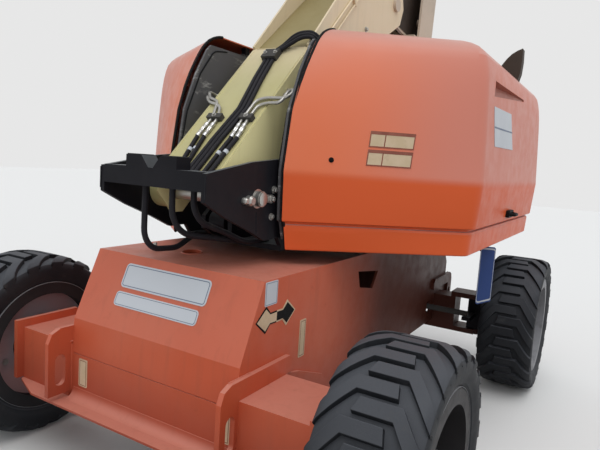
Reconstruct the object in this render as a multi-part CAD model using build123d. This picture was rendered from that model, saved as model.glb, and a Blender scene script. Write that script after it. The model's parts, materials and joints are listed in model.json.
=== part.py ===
from build123d import *
from math import cos, pi, radians, sin, tan
import os

# Machine frame in millimetres: X toward the platform, Y to the left side, Z up.
# The swing axis stands over X = 0 and the floor is at Z = 0.

# Running gear
wheelbase = 2440
overall_width = 2490
tyre_radius = 470
tyre_width = 355
lug_count = 40
lug_half = 26
lug_free_y = 57
lug_free_lean = 7
lug_knee_y = 80
lug_knee_lean = 8
lug_crown_y = 119
lug_slope = 1.38
lug_end_drop = 30
lug_sunk = 15
lug_lean = 40
tread_depth = 23
carcass_sides = 20
carcass_drop = 25
bead_gap = 0.4
bead_slope = 0.49
rim_radius = 334
rim_flange_width = 16
rim_barrel_radius = 285
rim_barrel_wall = 12
rim_disc_wall = 18
rim_disc_inset = 120
hub_radius = 150
hub_cap_radius = 105
motor_radius = 100
end_gap = 5
hub_drum_inset = 30
hub_cap_length = 55
bearing_gap = 0.4
spindle_depth = 90
motor_depth = 60

# Chassis
chassis_half_width = 475
chassis_top = 1052
chassis_bottom = 380
chassis_wall = 14
cover_top_x = 1255
cover_fold_x = 1390
cover_fold_z = 741
chassis_end_x = 1400
seam_z = 580
seam_width = 5
seam_depth = 4
tail_top_x = -1180
tail_end_x = -1400
tail_fold_z = 800
axle_box_front = 1415
axle_box_rear = 1080
axle_box_top = 628
axle_box_bottom = 372
wheel_gap = 48
end_plate_wall = 24
end_plate_front = 1450
end_plate_rear = 1110
end_plate_top = 666
skid_inset = 53
skid_bottom = 297
skid_wall = 12
lug_wall = 22
lug_tip_x = 1522
lug_top = 705
lug_rear_x = 1030
lug_foot = 395
lug_round = 60
slot_x = 1436
slot_low = 437
slot_high = 583
slot_radius = 27
gusset_rear_x = 640
gusset_wall = 16
top_hole_x = 985
top_hole_y = -140
top_hole_length = 130
top_hole_width = 90
side_hole_front = 360
side_hole_rear = 80
side_hole_low = 838
side_hole_high = 965

# Steering
kingpin_inset = 95
kingpin_radius = 28
kingpin_half_height = 150
yoke_wall = 36
yoke_half_width = 85
steer_beam_half_depth = 85
steer_beam_low = 360
steer_beam_high = 580
yoke_reach = 155
yoke_depth = 36
yoke_boss_inset = 15
beam_foot = 40
knuckle_half = 62
knuckle_half_height = 100
spindle_radius = 55
steer_arm_reach = 250
steer_arm_width = 60
steer_arm_wall = 26
tie_rod_radius = 20
rod_end_gap = 0.8

# Turntable
bearing_outer = 470
bearing_inner = 370
bearing_height = 51.4
swing_gap = 0.6
base_wall = 25
base_front_x = 860
base_rear_x = -840
frame_inner = 268
frame_wall = 22
frame_front_x = 1414
frame_tail_x = -1100
front_plate_low = 1386
front_plate_top = 1462
front_plate_wall = 20
front_shelf_depth = 130
front_shelf_wall = 14
rest_top = 1510
rest_half_width = 139
rest_notch_half = 52
rest_depth = 80
# Side cheek, over the top from front to tail, then back under the nose: x, z
cheek_top = ((1120, 1510), (887, 1532), (300, 1480), (-700, 1420))
cheek_nose = ((891, 1170), (1003, 1166), (1123, 1220), (1285, 1284), (1382, 1331))
cheek_nose_z = 1347
cheek_shoulder_z = 1457
cheek_tail_z = 1420
tower_pin_x = 1070
tower_pin_z = 1355
tower_pin_radius = 42
pin_head_radius = 34
pin_head_length = 24
tray_low = 1150
tray_wall = 16
tray_front_x = 560
tray_rear_x = -1330
tray_outer = 900
counterweight_rear_x = -1455
counterweight_front_x = -1110
counterweight_top = 1560
counterweight_low = 1180
counterweight_outer = 940
bridge_low = 1030
bridge_height = 46
bridge_depth = 90
slot_half_width = 332
inner_panel_y = 304
inner_panel_wall = 12
panel_inset = 14
engine_length = 900
engine_width = 420
engine_height = 560
engine_x = -420
tank_length = 620
tank_width = 400
tank_height = 520
tank_x = -120

# Hoods: one row a level, from the lowest to the crown
# level z, inset from the widest outline, x of the inner front corner
hood_inner_y = 340
hood_wall = 22
hood_corner_x = 345
hood_corner_y = 1062
hood_side_rear_x = -1370
hood_side_rear_y = 1085
hood_tail_x = -1530
hood_tail_y = 860
hood_corner_round = 90
hood_levels = (
    (1122, 46, 900),
    (1246, 34, 928),
    (1257, 18, 945),
    (1478, 0, 955),
    (1750, 14, 915),
    (1935, 26, 840),
    (2070, 46, 762),
    (2122, 78, 705),
    (2168, 220, 600),
)
hood_hinge_y = 372
hood_hinge_z = 2110
hinge_pin_radius = 10
hinge_eye_radius = 20
hinge_eye_half = 20
hinge_cheek_wall = 10
hinge_side_gap = 1.5
hinge_front_x = 330
hinge_rear_x = -1000
panel_top = 2098
hood_mid_x = -300
hood_open_degrees = 48

# Tower boom, in its own frame: s along the boom from its pin, n square to it and up
tower_angle = 44.5
tower_half_width = 175
tower_wall = 12
tower_top_n = 154
tower_bottom_n = -190
tower_knee_s = 1750
tower_knee_n = -330
tower_belly_s = 900
tower_heel_s = -100
tower_heel_n = -95
tower_heel_run = 330
tower_lid_end_s = 920
tower_end_s = 2065
tower_end_n = -265
tower_end_radius = 150
tower_back = ((1700, 215), (1316, 190))
tower_webs = ((60, -20, -5), (640, -30, -5), (1345, -180, -54), (1850, -330, -94))
upright_pin_radius = 45

# Hoses and tubes
hose_radius = 10
loop_radius = 13
tube_radius = 8
fitting_radius = 11
fitting_length = 85
hose_bend = 90
bundle_pitch = 23
clamp_height = 27
bundle_clamp_height = 31
tube_start_s = 200
hose_end_gap = 2
seat_gap = 0.3
hose_end_y = 175.4
# Centre run of the hose bundle on the tower's lid: s, y, rise above the lid's hoses
bundle_run = ((-45, 30, 0), (180, 38, 0), (400, 56, 0), (640, 15, 0), (835, -9, 0), (893, 22, 4),
              (968, 105, 30), (968, 202, 30), (968, 202, -130), (968, hose_end_y, -130))
# Hoses from the lid's front edge to the fittings: y at the edge, y halfway, y at the fitting
short_hoses = ((-52, -72, -86), (-20, -34, -46), (97, 103, 110), (130, 134, 142))
# Tubes from the fittings over the lid's edges, ending in the side plates: s, y, rise
tube_runs = (
    ((200, -86, 0), (330, -80, 0), (455, -125, 0), (480, -190, 0), (535, -235, 0), (566, -226, -55),
     (566, -hose_end_y, -55)),
    ((200, -46, 0), (330, -46, 0), (424, -90, 0), (448, -180, 0), (503, -226, 0), (531, -218, -55),
     (531, -hose_end_y, -55)),
    ((200, 110, 0), (330, 99, 0), (462, 101, 0), (482, 150, 0), (478, 270, 0), (575, 272, 0),
     (616, 250, -55), (616, hose_end_y, -55)),
    ((200, 142, 0), (330, 130, 0), (424, 131, 0), (444, 180, 0), (442, 243, 0), (545, 245, 0),
     (580, 226, -55), (580, hose_end_y, -55)),
)
# Clamps on the lid: s from, s to, y from, y to
tube_clamps = ((316, 346, -104, -22), (318, 348, 86, 154))
bundle_clamp = (802, 868, -52, 34)
# Hose loops hanging in the turntable's nose: x, y, z
loop_runs = (
    ((1340, -100, 1447.6), (1340, -100, 1108), (1130, -106, 1094), (975, -134, 1142.3), (800, -134, 1142.3)),
    ((1336, 50, 1447.6), (1336, 50, 1196), (1085, 92, 1158), (975, 134, 1142.3), (800, 134, 1142.3)),
    ((1298, 132, 1447.6), (1298, 132, 1262), (1110, 150, 1196), (985, 172, 1142.3), (800, 172, 1142.3)),
)

# Upright, measured from the tower's end pin
upright_half_width = 215
upright_wall = 16
upright_front_low = -400
upright_front_high = -470
upright_rear_low = -690
upright_rear_high = -770
upright_low = -130
upright_high = 900
main_pin_dx = -580
main_pin_dz = 810
main_pin_radius = 45
arm_half_width = 120
arm_wall = 22
arm_top = 330
back_plate_top = 500

# Main boom
main_length = 4650
main_tail = 230
main_half_width = 130
main_half_height = 170
main_wall = 10
keel_reach = 2955
keel_drop = 55
fly_clearance = 6
pad_gap = 0.6
pad_length = 180
fly_wall = 10
fly_overlap = 1500
fly_out = 420
fly_stroke = 3000
nose_drop = 150
nose_pin_radius = 24

# Lift cylinders
tower_cylinder_x = 930
tower_cylinder_z = 1215
tower_cylinder_s = 1250
tower_cylinder_n = -120
main_cylinder_dx = -30
main_cylinder_dz = -780
main_cylinder_reach = 950
main_cylinder_drop = 250
barrel_radius = 62
tower_barrel_share = 0.83
main_barrel_share = 0.855
tower_rod_start = 850
main_rod_start = 270
rod_radius = 34
eye_radius = 55
gland_length = 60
eye_half_width = 45
cylinder_pin_radius = 28
ear_gap = 6
ear_wall = 24

# Platform
platform_length = 2440
platform_depth = 910
rail_height = 1080
rail_radius = 17
post_radius = 19
toe_height = 150
toe_wall = 5
floor_wall = 30
deck_rise = 3
deck_gap = 7
floor_beam_height = 50
gate_width = 620
gate_offset = 250
gate_gap = 8
gate_post_radius = 13
gate_bar_radius = 11
gate_foot = 130
gate_drop = 60
anchor_drop = 50
anchor_radius = 16
anchor_wall = 10
anchor_rim = 16
support_arm_height = 640
support_arm_half = 55
rotator_radius = 95
rotator_height = 150
rotator_spindle = 40
spindle_reach = 160

# Worked out from the sizes above
axle_x = wheelbase / 2
wheel_y = (overall_width - tyre_width) / 2
outer_y = overall_width / 2
inner_wheel_y = outer_y - tyre_width
bearing_top = chassis_top + bearing_height
base_low = bearing_top + swing_gap
base_top = base_low + base_wall
frame_outer = frame_inner + frame_wall
axle_box_end = inner_wheel_y - wheel_gap - end_plate_wall
skid_half_width = axle_box_end - skid_inset
kingpin_y = inner_wheel_y - kingpin_inset
steer_beam_end = kingpin_y - yoke_reach
steer_arm_y = kingpin_y - steer_arm_width / 2


def box(x0, x1, y0, y1, z0, z1):
    size = (x1 - x0, y1 - y0, z1 - z0)
    return Pos((x0 + x1) / 2, (y0 + y1) / 2, (z0 + z1) / 2) * Box(*size)


def side_plate(points, y0, y1):
    """A flat plate drawn on X and Z, standing from y0 to y1."""
    plane = Plane(origin=(0, y1, 0), x_dir=(1, 0, 0), z_dir=(0, -1, 0))
    return extrude(plane * make_face(Polyline(*points, close=True)), amount=y1 - y0)


def rod_y(x, z, radius, y0, y1):
    return Pos(x, (y0 + y1) / 2, z) * Rot(90, 0, 0) * Cylinder(radius, y1 - y0)


def rod_x(y, z, radius, x0, x1):
    return Pos((x0 + x1) / 2, y, z) * Rot(0, 90, 0) * Cylinder(radius, x1 - x0)


def rod_z(x, y, radius, z0, z1):
    return Pos(x, y, (z0 + z1) / 2) * Cylinder(radius, z1 - z0)


def rod_between(a, b, radius):
    a, b = Vector(*a), Vector(*b)
    plane = Plane(origin=a, z_dir=b - a)
    return extrude(plane * Circle(radius), amount=(b - a).length)


def both_sides(shape):
    return shape + mirror(shape, about=Plane.XZ)


def mirrored(shape):
    return mirror(shape, about=Plane.XZ)


def tower_point(s, n):
    a = radians(tower_angle)
    x = tower_pin_x - s * cos(a) + n * sin(a)
    z = tower_pin_z + s * sin(a) + n * cos(a)
    return (x, z)


upright_pin = tower_point(tower_end_s, tower_end_n)
main_pin = (upright_pin[0] + main_pin_dx, upright_pin[1] + main_pin_dz)


def upright_point(dx, dz):
    return (upright_pin[0] + dx, upright_pin[1] + dz)


def main_point(dx, dz):
    return (main_pin[0] + dx, main_pin[1] + dz)


# Chassis weldment

def chassis_outline(inset):
    return [
        (cover_top_x - inset, chassis_top - inset),
        (cover_fold_x - inset, cover_fold_z),
        (chassis_end_x - inset, seam_z),
        (chassis_end_x - inset, chassis_bottom - inset),
        (tail_end_x + inset, chassis_bottom - inset),
        (tail_end_x + inset, tail_fold_z - inset),
        (tail_top_x + inset, chassis_top - inset),
    ]


def make_chassis():
    shell = side_plate(chassis_outline(0), -chassis_half_width, chassis_half_width)
    room = chassis_half_width - chassis_wall
    inside = side_plate(chassis_outline(chassis_wall), -room, room)
    body = shell - inside
    ring = chassis_bottom + 60
    for x in (axle_x - 240, 380, -380, -axle_x + 240):
        body += box(x - 8, x + 8, -room, room, ring, chassis_top - chassis_wall)
    hole = Pos(top_hole_x, top_hole_y, chassis_top) * Rot(0, 0, 25)
    body -= hole * extrude(Ellipse(top_hole_length / 2, top_hole_width / 2), 40, both=True)
    corner = (side_hole_front - side_hole_rear) * 0.12
    window = [
        (side_hole_front, side_hole_high),
        (side_hole_rear, side_hole_high - corner),
        (side_hole_rear + 2 * corner, side_hole_low),
        (side_hole_front - corner, side_hole_low + corner),
    ]
    body -= side_plate(window, room - 5, chassis_half_width + 5)
    body -= side_plate(window, -chassis_half_width - 5, -room + 5)
    rod_x0 = -axle_x + steer_arm_reach - 25
    rod_z0 = tyre_radius + steer_arm_wall / 2 + rod_end_gap + tie_rod_radius
    body -= box(rod_x0 - 42, rod_x0 + 42, -600, 600, rod_z0 - 42, rod_z0 + 42)
    seam_low, seam_high = seam_z - seam_width / 2, seam_z + seam_width / 2
    groove = chassis_end_x - seam_depth
    body -= box(groove, groove + 20, -room, room, seam_low, seam_high)
    y0 = chassis_half_width
    y1 = y0 + lug_wall
    for end in (1, -1):
        lug = make_lug(y0, y1)
        if end < 0:
            lug = mirror(lug, about=Plane.YZ)
        body += both_sides(lug)
    return body


def make_lug(y0, y1):
    outline = [
        (lug_tip_x, lug_foot),
        (lug_tip_x, lug_top - lug_round),
        (lug_tip_x - lug_round * 0.3, lug_top - lug_round * 0.3),
        (lug_tip_x - lug_round, lug_top),
        (lug_rear_x + 30, lug_top),
        (lug_rear_x, lug_top - 22),
        (lug_rear_x, axle_box_top),
        (axle_box_front, axle_box_top),
        (axle_box_front, lug_foot),
    ]
    plate = side_plate(outline, y0, y1)
    length = slot_high - slot_low - 2 * slot_radius
    middle = (slot_high + slot_low) / 2
    cut = Plane(origin=(slot_x + 25, y1 + 5, middle), x_dir=(0, 0, 1), z_dir=(0, -1, 0))
    plate -= extrude(cut * SlotCenterToCenter(length, 2 * slot_radius), lug_wall + 10)
    return plate


def make_drive_axle():
    arm = box(axle_box_rear, axle_box_front, chassis_half_width, axle_box_end,
              axle_box_bottom, axle_box_top)
    y1 = axle_box_end + end_plate_wall
    plate = box(end_plate_rear, end_plate_front, axle_box_end, y1,
                axle_box_bottom + 5, end_plate_top)
    gusset = side_plate([
        (axle_box_rear, axle_box_top),
        (axle_box_rear - 120, axle_box_top - 25),
        (gusset_rear_x + 90, axle_box_top - 110),
        (gusset_rear_x, axle_box_bottom + 46),
        (axle_box_rear, axle_box_bottom + 46),
    ], chassis_half_width, chassis_half_width + gusset_wall)
    motor = rod_y(axle_x, tyre_radius, motor_radius, y1, inner_wheel_y + motor_depth - end_gap)
    return both_sides(arm + plate + gusset + motor)


def make_skid():
    front = axle_box_front
    rise = axle_box_bottom - skid_bottom
    wing = skid_half_width + 55
    outline = [
        (-wing, skid_bottom + rise), (-skid_half_width, skid_bottom),
        (skid_half_width, skid_bottom), (wing, skid_bottom + rise),
        (wing - 16, skid_bottom + rise),
        (skid_half_width - 8, skid_bottom + skid_wall),
        (-skid_half_width + 8, skid_bottom + skid_wall),
        (-wing + 16, skid_bottom + rise),
    ]
    plane = Plane(origin=(axle_box_rear, 0, 0), x_dir=(0, 1, 0), z_dir=(1, 0, 0))
    tray = extrude(plane * make_face(Polyline(*outline, close=True)), front - axle_box_rear)
    foot = skid_bottom + skid_wall
    for x in (axle_box_rear, front - 14):
        tray += box(x, x + 14, -skid_half_width + 40, skid_half_width - 40, foot, axle_box_bottom)
    return tray


# Wheels

def polyhedron(faces):
    return Solid(Shell([Face(Wire(Polyline(*f, close=True).edges())) for f in faces]))


def wheel_point(radius, y, angle):
    return (radius * cos(angle), y, radius * sin(angle))


def make_carcass():
    """The tyre's body under its lugs, with flat sides in step with them."""
    crown = tyre_radius - tread_depth
    side = tyre_width / 2
    bead_y = side - rim_flange_width - 14 - bead_gap
    bead_r = rim_radius - 6
    half = (
        (rim_barrel_radius, bead_y - bead_slope * (bead_r - rim_barrel_radius)),
        (bead_r + (side - bead_y) / bead_slope, side),
        (crown - carcass_drop, side),
        (crown, lug_crown_y),
    )
    rows = list(half) + [(r, -y) for r, y in reversed(half)]
    step = 2 * pi / carcass_sides
    stretch = 1 / cos(step / 2)
    faces = []
    for i in range(carcass_sides):
        a0, a1 = (i - 0.5) * step, (i + 0.5) * step
        for (r0, y0), (r1, y1) in zip(rows, rows[1:] + rows[:1]):
            low, high = r0 * stretch, r1 * stretch
            faces.append([wheel_point(low, y0, a0), wheel_point(low, y0, a1),
                          wheel_point(high, y1, a1), wheel_point(high, y1, a0)])
    return polyhedron(faces)


def lug_stations():
    """Rows across the tread: leading corner y and s, trailing corner y and s, top radius."""
    end_y = tyre_width / 2
    crown = tyre_radius / cos(lug_half / tyre_radius)
    lead, trail = lug_knee_y + lug_knee_lean, lug_knee_y - lug_knee_lean

    def arm_row(y, radius):
        s0 = lug_half - lug_slope * (y - lead)
        s1 = -lug_half - lug_slope * (y - trail)
        return (y, s0, y, s1, radius)

    return (
        (-lug_free_y + lug_free_lean, lug_half, -lug_free_y - lug_free_lean, -lug_half, crown),
        (lead, lug_half, trail, -lug_half, crown),
        arm_row(lug_crown_y, crown - 2),
        arm_row(end_y, tyre_radius - lug_end_drop),
    )


def make_tread_lug(angle, side):
    """One lug: a bar across the crown, then an arm that trails to the shoulder."""
    drop = wheel_point(-tread_depth - lug_sunk, 0, angle - lug_lean / tyre_radius)
    rings = []
    for y0, s0, y1, s1, top in lug_stations():
        lead = wheel_point(top, side * y0, angle + s0 / tyre_radius)
        trail = wheel_point(top, side * y1, angle + s1 / tyre_radius)
        foot = [tuple(p + d for p, d in zip(q, drop)) for q in (trail, lead)]
        rings.append([lead, trail] + foot)
    faces = [rings[0], rings[-1]]
    for near, far in zip(rings, rings[1:]):
        for k in (1, 3):
            j = (k + 1) % 4
            faces.append([near[k], near[j], far[j], far[k]])
        for k, j in ((0, 1), (2, 3)):
            faces += [[near[k], near[j], far[j]], [near[k], far[j], far[k]]]
    return polyhedron(faces)


def make_tyre():
    step = 2 * pi / lug_count
    lugs = [make_tread_lug(i * step, 1 if i % 2 else -1) for i in range(lug_count)]
    return make_carcass().fuse(*lugs)


def make_rim():
    half = tyre_width / 2
    flange = rim_flange_width
    outer, wall = rim_barrel_radius, rim_barrel_wall
    disc_y = half - rim_disc_inset
    profile = [
        (0, disc_y), (0, disc_y - rim_disc_wall), (outer - wall, disc_y - rim_disc_wall),
        (outer - wall, -half + flange), (rim_radius - 6, -half + flange),
        (rim_radius, -half + flange + 8), (rim_radius - 6, -half + flange + 14),
        (outer, -half + 50), (outer, half - 50),
        (rim_radius - 6, half - flange - 14), (rim_radius, half - flange - 8),
        (rim_radius - 6, half - flange), (outer - wall, half - flange),
        (outer - wall, disc_y),
    ]
    return revolve(Plane.XY * make_face(Polyline(*profile, close=True)), Axis.Y)


def make_hub():
    half = tyre_width / 2
    disc_y = half - rim_disc_inset
    drum = rod_y(0, 0, hub_radius, -half + hub_drum_inset, disc_y - rim_disc_wall)
    cap = rod_y(0, 0, hub_cap_radius, disc_y, disc_y + hub_cap_length)
    return drum, cap


def wheel_set(x, y, driven):
    drum, cap = make_hub()
    rim = make_rim() + drum + cap
    bore, depth = (motor_radius, motor_depth) if driven else (spindle_radius, spindle_depth)
    rim -= rod_y(0, 0, bore + bearing_gap, -tyre_width / 2 - 1, -tyre_width / 2 + depth)
    place = Pos(x, y, tyre_radius)
    if y < 0:
        return place * mirrored(tyre_shape), place * Rot(0, 0, 180) * rim
    return place * tyre_shape, place * rim


tyre_shape = make_tyre()


# Steering

def make_steer_axle():
    x = -axle_x
    middle = tyre_radius
    stub = box(x - steer_beam_half_depth, x + steer_beam_half_depth,
               chassis_half_width, steer_beam_end, steer_beam_low, steer_beam_high)
    top = middle + kingpin_half_height
    low = middle - kingpin_half_height
    for z0, z1 in ((top - yoke_wall, top), (low, low + yoke_wall)):
        stub += box(x - yoke_half_width, x + yoke_half_width, steer_beam_end, kingpin_y, z0, z1)
        stub += rod_z(x, kingpin_y, yoke_half_width - yoke_boss_inset, z0, z1)
    stub += box(x - yoke_half_width, x + yoke_half_width, steer_beam_end - yoke_depth,
                steer_beam_end, low, top)
    stub += rod_z(x, kingpin_y, kingpin_radius, low, top)
    sole = box(x - steer_beam_half_depth, x + steer_beam_half_depth, -steer_beam_end,
               steer_beam_end, steer_beam_low - beam_foot, steer_beam_low + beam_foot / 4)
    sole += box(x - steer_beam_half_depth, x + steer_beam_half_depth, -chassis_half_width,
                chassis_half_width, steer_beam_low, chassis_bottom)
    return both_sides(stub) + sole


def make_knuckle():
    x = -axle_x
    middle = tyre_radius
    inside = kingpin_half_height - yoke_wall - bearing_gap
    block = box(x - knuckle_half, x + knuckle_half, kingpin_y - knuckle_half,
                kingpin_y + knuckle_half, middle - inside, middle + inside)
    block += rod_y(x, middle, spindle_radius, kingpin_y + knuckle_half,
                   inner_wheel_y + spindle_depth - end_gap)
    arm = box(x + knuckle_half, x + steer_arm_reach, kingpin_y - steer_arm_width, kingpin_y,
              middle - steer_arm_wall / 2, middle + steer_arm_wall / 2)
    bore = rod_z(x, kingpin_y, kingpin_radius + bearing_gap, middle - inside - 5, middle + inside + 5)
    return block + arm - bore


def make_tie_rod():
    x = -axle_x + steer_arm_reach - 25
    z = tyre_radius + steer_arm_wall / 2 + rod_end_gap + tie_rod_radius
    return rod_between((x, -steer_arm_y, z), (x, steer_arm_y, z), tie_rod_radius)


# Turntable

def make_bearing():
    ring = rod_z(0, 0, bearing_outer, chassis_top, bearing_top)
    return ring - rod_z(0, 0, bearing_inner, chassis_top - 1, bearing_top + 1)


def frame_outline():
    front = [(frame_front_x, cheek_nose_z), (frame_front_x, cheek_shoulder_z)]
    tail = [(frame_tail_x, cheek_tail_z), (frame_tail_x, base_top), (base_front_x, base_top)]
    return front + list(cheek_top) + tail + list(cheek_nose)


def make_turntable_frame():
    cheek = side_plate(frame_outline(), frame_inner, frame_outer)
    frame = both_sides(cheek)
    frame += box(frame_front_x - front_plate_wall, frame_front_x, -frame_inner, frame_inner,
                 front_plate_low, front_plate_top)
    frame += box(frame_front_x - front_shelf_depth, frame_front_x, -frame_inner, frame_inner,
                 front_plate_top - front_shelf_wall, front_plate_top)
    base = box(base_rear_x, base_front_x, -frame_outer, frame_outer, base_low, base_top)
    base += rod_z(0, 0, bearing_outer + 40, base_low, base_top)
    frame += base
    notch_low = front_plate_top
    for side in (1, -1):
        a, b = side * rest_notch_half * 0.25, side * rest_half_width
        c = side * rest_notch_half
        block = [(a, notch_low), (b, notch_low), (b, rest_top), (c, rest_top)]
        plane = Plane(origin=(frame_front_x - rest_depth, 0, 0), x_dir=(0, 1, 0), z_dir=(1, 0, 0))
        frame += extrude(plane * make_face(Polyline(*block, close=True)), rest_depth)
    y0 = barrel_radius + ear_gap
    y1 = y0 + ear_wall
    bx, bz = tower_cylinder_x, tower_cylinder_z
    ear = side_plate([
        (bx - 290, base_top), (base_front_x, base_top), (bx, bz - 66), (bx + 52, bz - 36),
        (bx + 52, bz + 24), (bx + 20, bz + 54), (bx - 26, bz + 54), (bx - 230, bz - 15),
    ], y0, y1)
    frame += both_sides(ear) + rod_y(bx, bz, cylinder_pin_radius, -y1 - 12, y1 + 12)
    frame -= rod_y(tower_pin_x, tower_pin_z, tower_pin_radius, -frame_outer - 5, frame_outer + 5)
    return frame


def make_tower_pin():
    end = frame_outer + pin_head_length
    pin = rod_y(tower_pin_x, tower_pin_z, tower_pin_radius, -frame_outer, frame_outer)
    pin += both_sides(rod_y(tower_pin_x, tower_pin_z, pin_head_radius, frame_outer, end))
    return pin


def make_trays():
    outline = [
        (tray_front_x, frame_outer), (tray_front_x, 640), (tray_front_x - 230, tray_outer),
        (tray_rear_x, tray_outer), (tray_rear_x, frame_outer),
    ]
    plate = extrude(Pos(0, 0, tray_low) * make_face(Polyline(*outline, close=True)), tray_wall)
    web = box(tray_rear_x, tray_front_x, frame_outer, inner_panel_y, base_top, tray_low)
    return both_sides(plate + web)


def make_counterweight():
    back, front = counterweight_rear_x, counterweight_front_x
    outline = [
        (front, slot_half_width), (front, counterweight_outer),
        (back + 170, counterweight_outer), (back, counterweight_outer - 230),
        (back, slot_half_width),
    ]
    z0 = tray_low + tray_wall
    block = extrude(Pos(0, 0, z0) * make_face(Polyline(*outline, close=True)),
                    counterweight_top - z0)
    bridge = box(back, back + bridge_depth, -counterweight_outer + 230,
                 counterweight_outer - 230, bridge_low, bridge_low + bridge_height)
    post = box(back, back + bridge_depth, slot_half_width + 15, counterweight_outer - 240,
               bridge_low, z0)
    return both_sides(block + post) + bridge


def yz_plate(points, x0, x1):
    """A flat plate drawn on Y and Z, standing from x0 to x1."""
    plane = Plane(origin=(x0, 0, 0), x_dir=(0, 1, 0), z_dir=(1, 0, 0))
    return extrude(plane * make_face(Polyline(*points, close=True)), amount=x1 - x0)


def make_inner_panels():
    rows = [(x - panel_inset, z) for z, inset, x in hood_levels if z < panel_top]
    back_x = hood_tail_x + 60
    low = tray_low + tray_wall
    outline = [(back_x, low), (rows[0][0], low)] + rows[1:]
    outline += [(rows[-1][0] - 30, panel_top), (back_x + 120, panel_top), (back_x, 2010)]
    y1 = inner_panel_y + inner_panel_wall
    panel = side_plate(outline, inner_panel_y, y1)
    hy, hz = hood_hinge_y, hood_hinge_z
    cheek = [(y1, hz - 80), (y1, hz - 30), (hy - 14, hz + 4), (hy, hz), (hy + 14, hz - 14),
             (hy, hz - 24)]
    for x in (hinge_front_x, hinge_rear_x):
        pin_half = hinge_eye_half + hinge_side_gap + hinge_cheek_wall
        for x0 in (x - pin_half, x + pin_half - hinge_cheek_wall):
            panel += yz_plate(cheek, x0, x0 + hinge_cheek_wall)
            panel += rod_x(hy, hz, hinge_eye_radius - 3, x0, x0 + hinge_cheek_wall)
        panel += rod_x(hy, hz, hinge_pin_radius, x - pin_half, x + pin_half)
    return both_sides(panel)


def make_engine():
    y0 = 420
    z0 = tray_low + tray_wall
    return box(engine_x - engine_length / 2, engine_x + engine_length / 2, y0,
               y0 + engine_width, z0, z0 + engine_height)


def make_tank():
    y0 = -440 - tank_width
    z0 = tray_low + tray_wall
    return box(tank_x - tank_length / 2, tank_x + tank_length / 2, y0,
               y0 + tank_width, z0, z0 + tank_height)


# Hoods

def hood_section(z, inset, front_x, wall):
    d = inset + wall
    points = [
        (front_x - 1.3 * wall, hood_inner_y),
        (hood_corner_x - 0.46 * d, hood_corner_y - d),
        (hood_side_rear_x + 0.52 * d, hood_side_rear_y - d),
        (hood_tail_x + d, hood_tail_y - 0.32 * d),
        (hood_tail_x + d, hood_inner_y),
    ]
    face = make_face(Polyline(*points, close=True))
    corners = face.vertices().sort_by(Axis.Y)[2:]
    return Pos(0, 0, z) * fillet(corners, hood_corner_round * (1 - inset / 300))


def hood_loft(wall, drop):
    rows = []
    for z, inset, front_x in hood_levels:
        rows.append(hood_section(z, inset, front_x, wall))
    if wall:
        z, inset, front_x = hood_levels[0]
        rows[0] = hood_section(z - drop, inset, front_x, wall)
        z, inset, front_x = hood_levels[-1]
        rows[-1] = hood_section(z - wall, inset, front_x, wall)
    return loft(rows, ruled=True)


def make_hood():
    outer = hood_loft(0, 0)
    inner = hood_loft(hood_wall, 5)
    shell = outer - inner
    hood = shell - Pos(0, -20, 0) * inner
    hy, hz = hood_hinge_y, hood_hinge_z
    roof = hood_levels[-1][0] - hood_wall + 2
    for x in (hinge_front_x, hinge_rear_x):
        x0, x1 = x - hinge_eye_half, x + hinge_eye_half
        hood += box(x0, x1, hy - hinge_eye_radius, hy + hinge_eye_radius, hz, roof)
        hood += rod_x(hy, hz, hinge_eye_radius, x0, x1)
        hood -= rod_x(hy, hz, hinge_pin_radius + bearing_gap, x0 - 1, x1 + 1)
    return hood


# Tower boom

def tower_plate(points, y0, y1):
    return side_plate([tower_point(s, n) for s, n in points], y0, y1)


def make_tower():
    top, low = tower_top_n, tower_bottom_n
    end = tower_end_s
    y1 = tower_half_width
    y0 = y1 - tower_wall
    profile = [
        (tower_heel_s, tower_heel_n / 2), (tower_heel_s / 2, tower_heel_n),
        (-tower_heel_s / 2, tower_heel_n), (tower_heel_run, low), (tower_belly_s, low), (tower_knee_s, tower_knee_n), (end, tower_end_n - tower_end_radius),
        (end + 110, tower_end_n - 100), (end + 150, tower_end_n),
        (end + 105, tower_end_n + 105), (end - 40, tower_end_n + 190),
        *tower_back, (tower_lid_end_s, top + 16), (tower_lid_end_s, top),
        (tower_heel_s / 2, top), (tower_heel_s, top - 60),
    ]
    boom = both_sides(tower_plate(profile, y0, y1))
    lid = [(tower_heel_s / 2, top - tower_wall), (tower_lid_end_s, top - tower_wall),
           (tower_lid_end_s, top), (tower_heel_s / 2, top)]
    boom += tower_plate(lid, -y0, y0)
    x, z = upright_pin
    for s0, n0, drop in tower_webs:
        web = [(s0, n0), (s0 + 15, n0), (s0 + 15, top + drop), (s0, top + drop)]
        boom += tower_plate(web, -y0, y0)
    inner = barrel_radius + ear_gap
    cs, cn = tower_cylinder_s, tower_cylinder_n
    ear = [(cs - 55, cn + 55), (cs + 96, cn + 80), (cs + 96, cn - 55), (cs - 55, cn - 55)]
    boom += both_sides(tower_plate(ear, inner, inner + ear_wall))
    tx, tz = tower_point(cs, cn)
    boom += both_sides(rod_y(tx, tz, cylinder_pin_radius, inner + ear_wall,
                             inner + ear_wall + 12))
    boss = rod_y(tower_pin_x, tower_pin_z, 85, y1, frame_inner - 3)
    boom += both_sides(boss)
    boom -= rod_y(tower_pin_x, tower_pin_z, tower_pin_radius + 1, -frame_inner, frame_inner)
    boom -= rod_y(x, z, upright_pin_radius, -y1 - 30, y1 + 30)
    return boom


# Hoses, tubes and clamps

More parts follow.
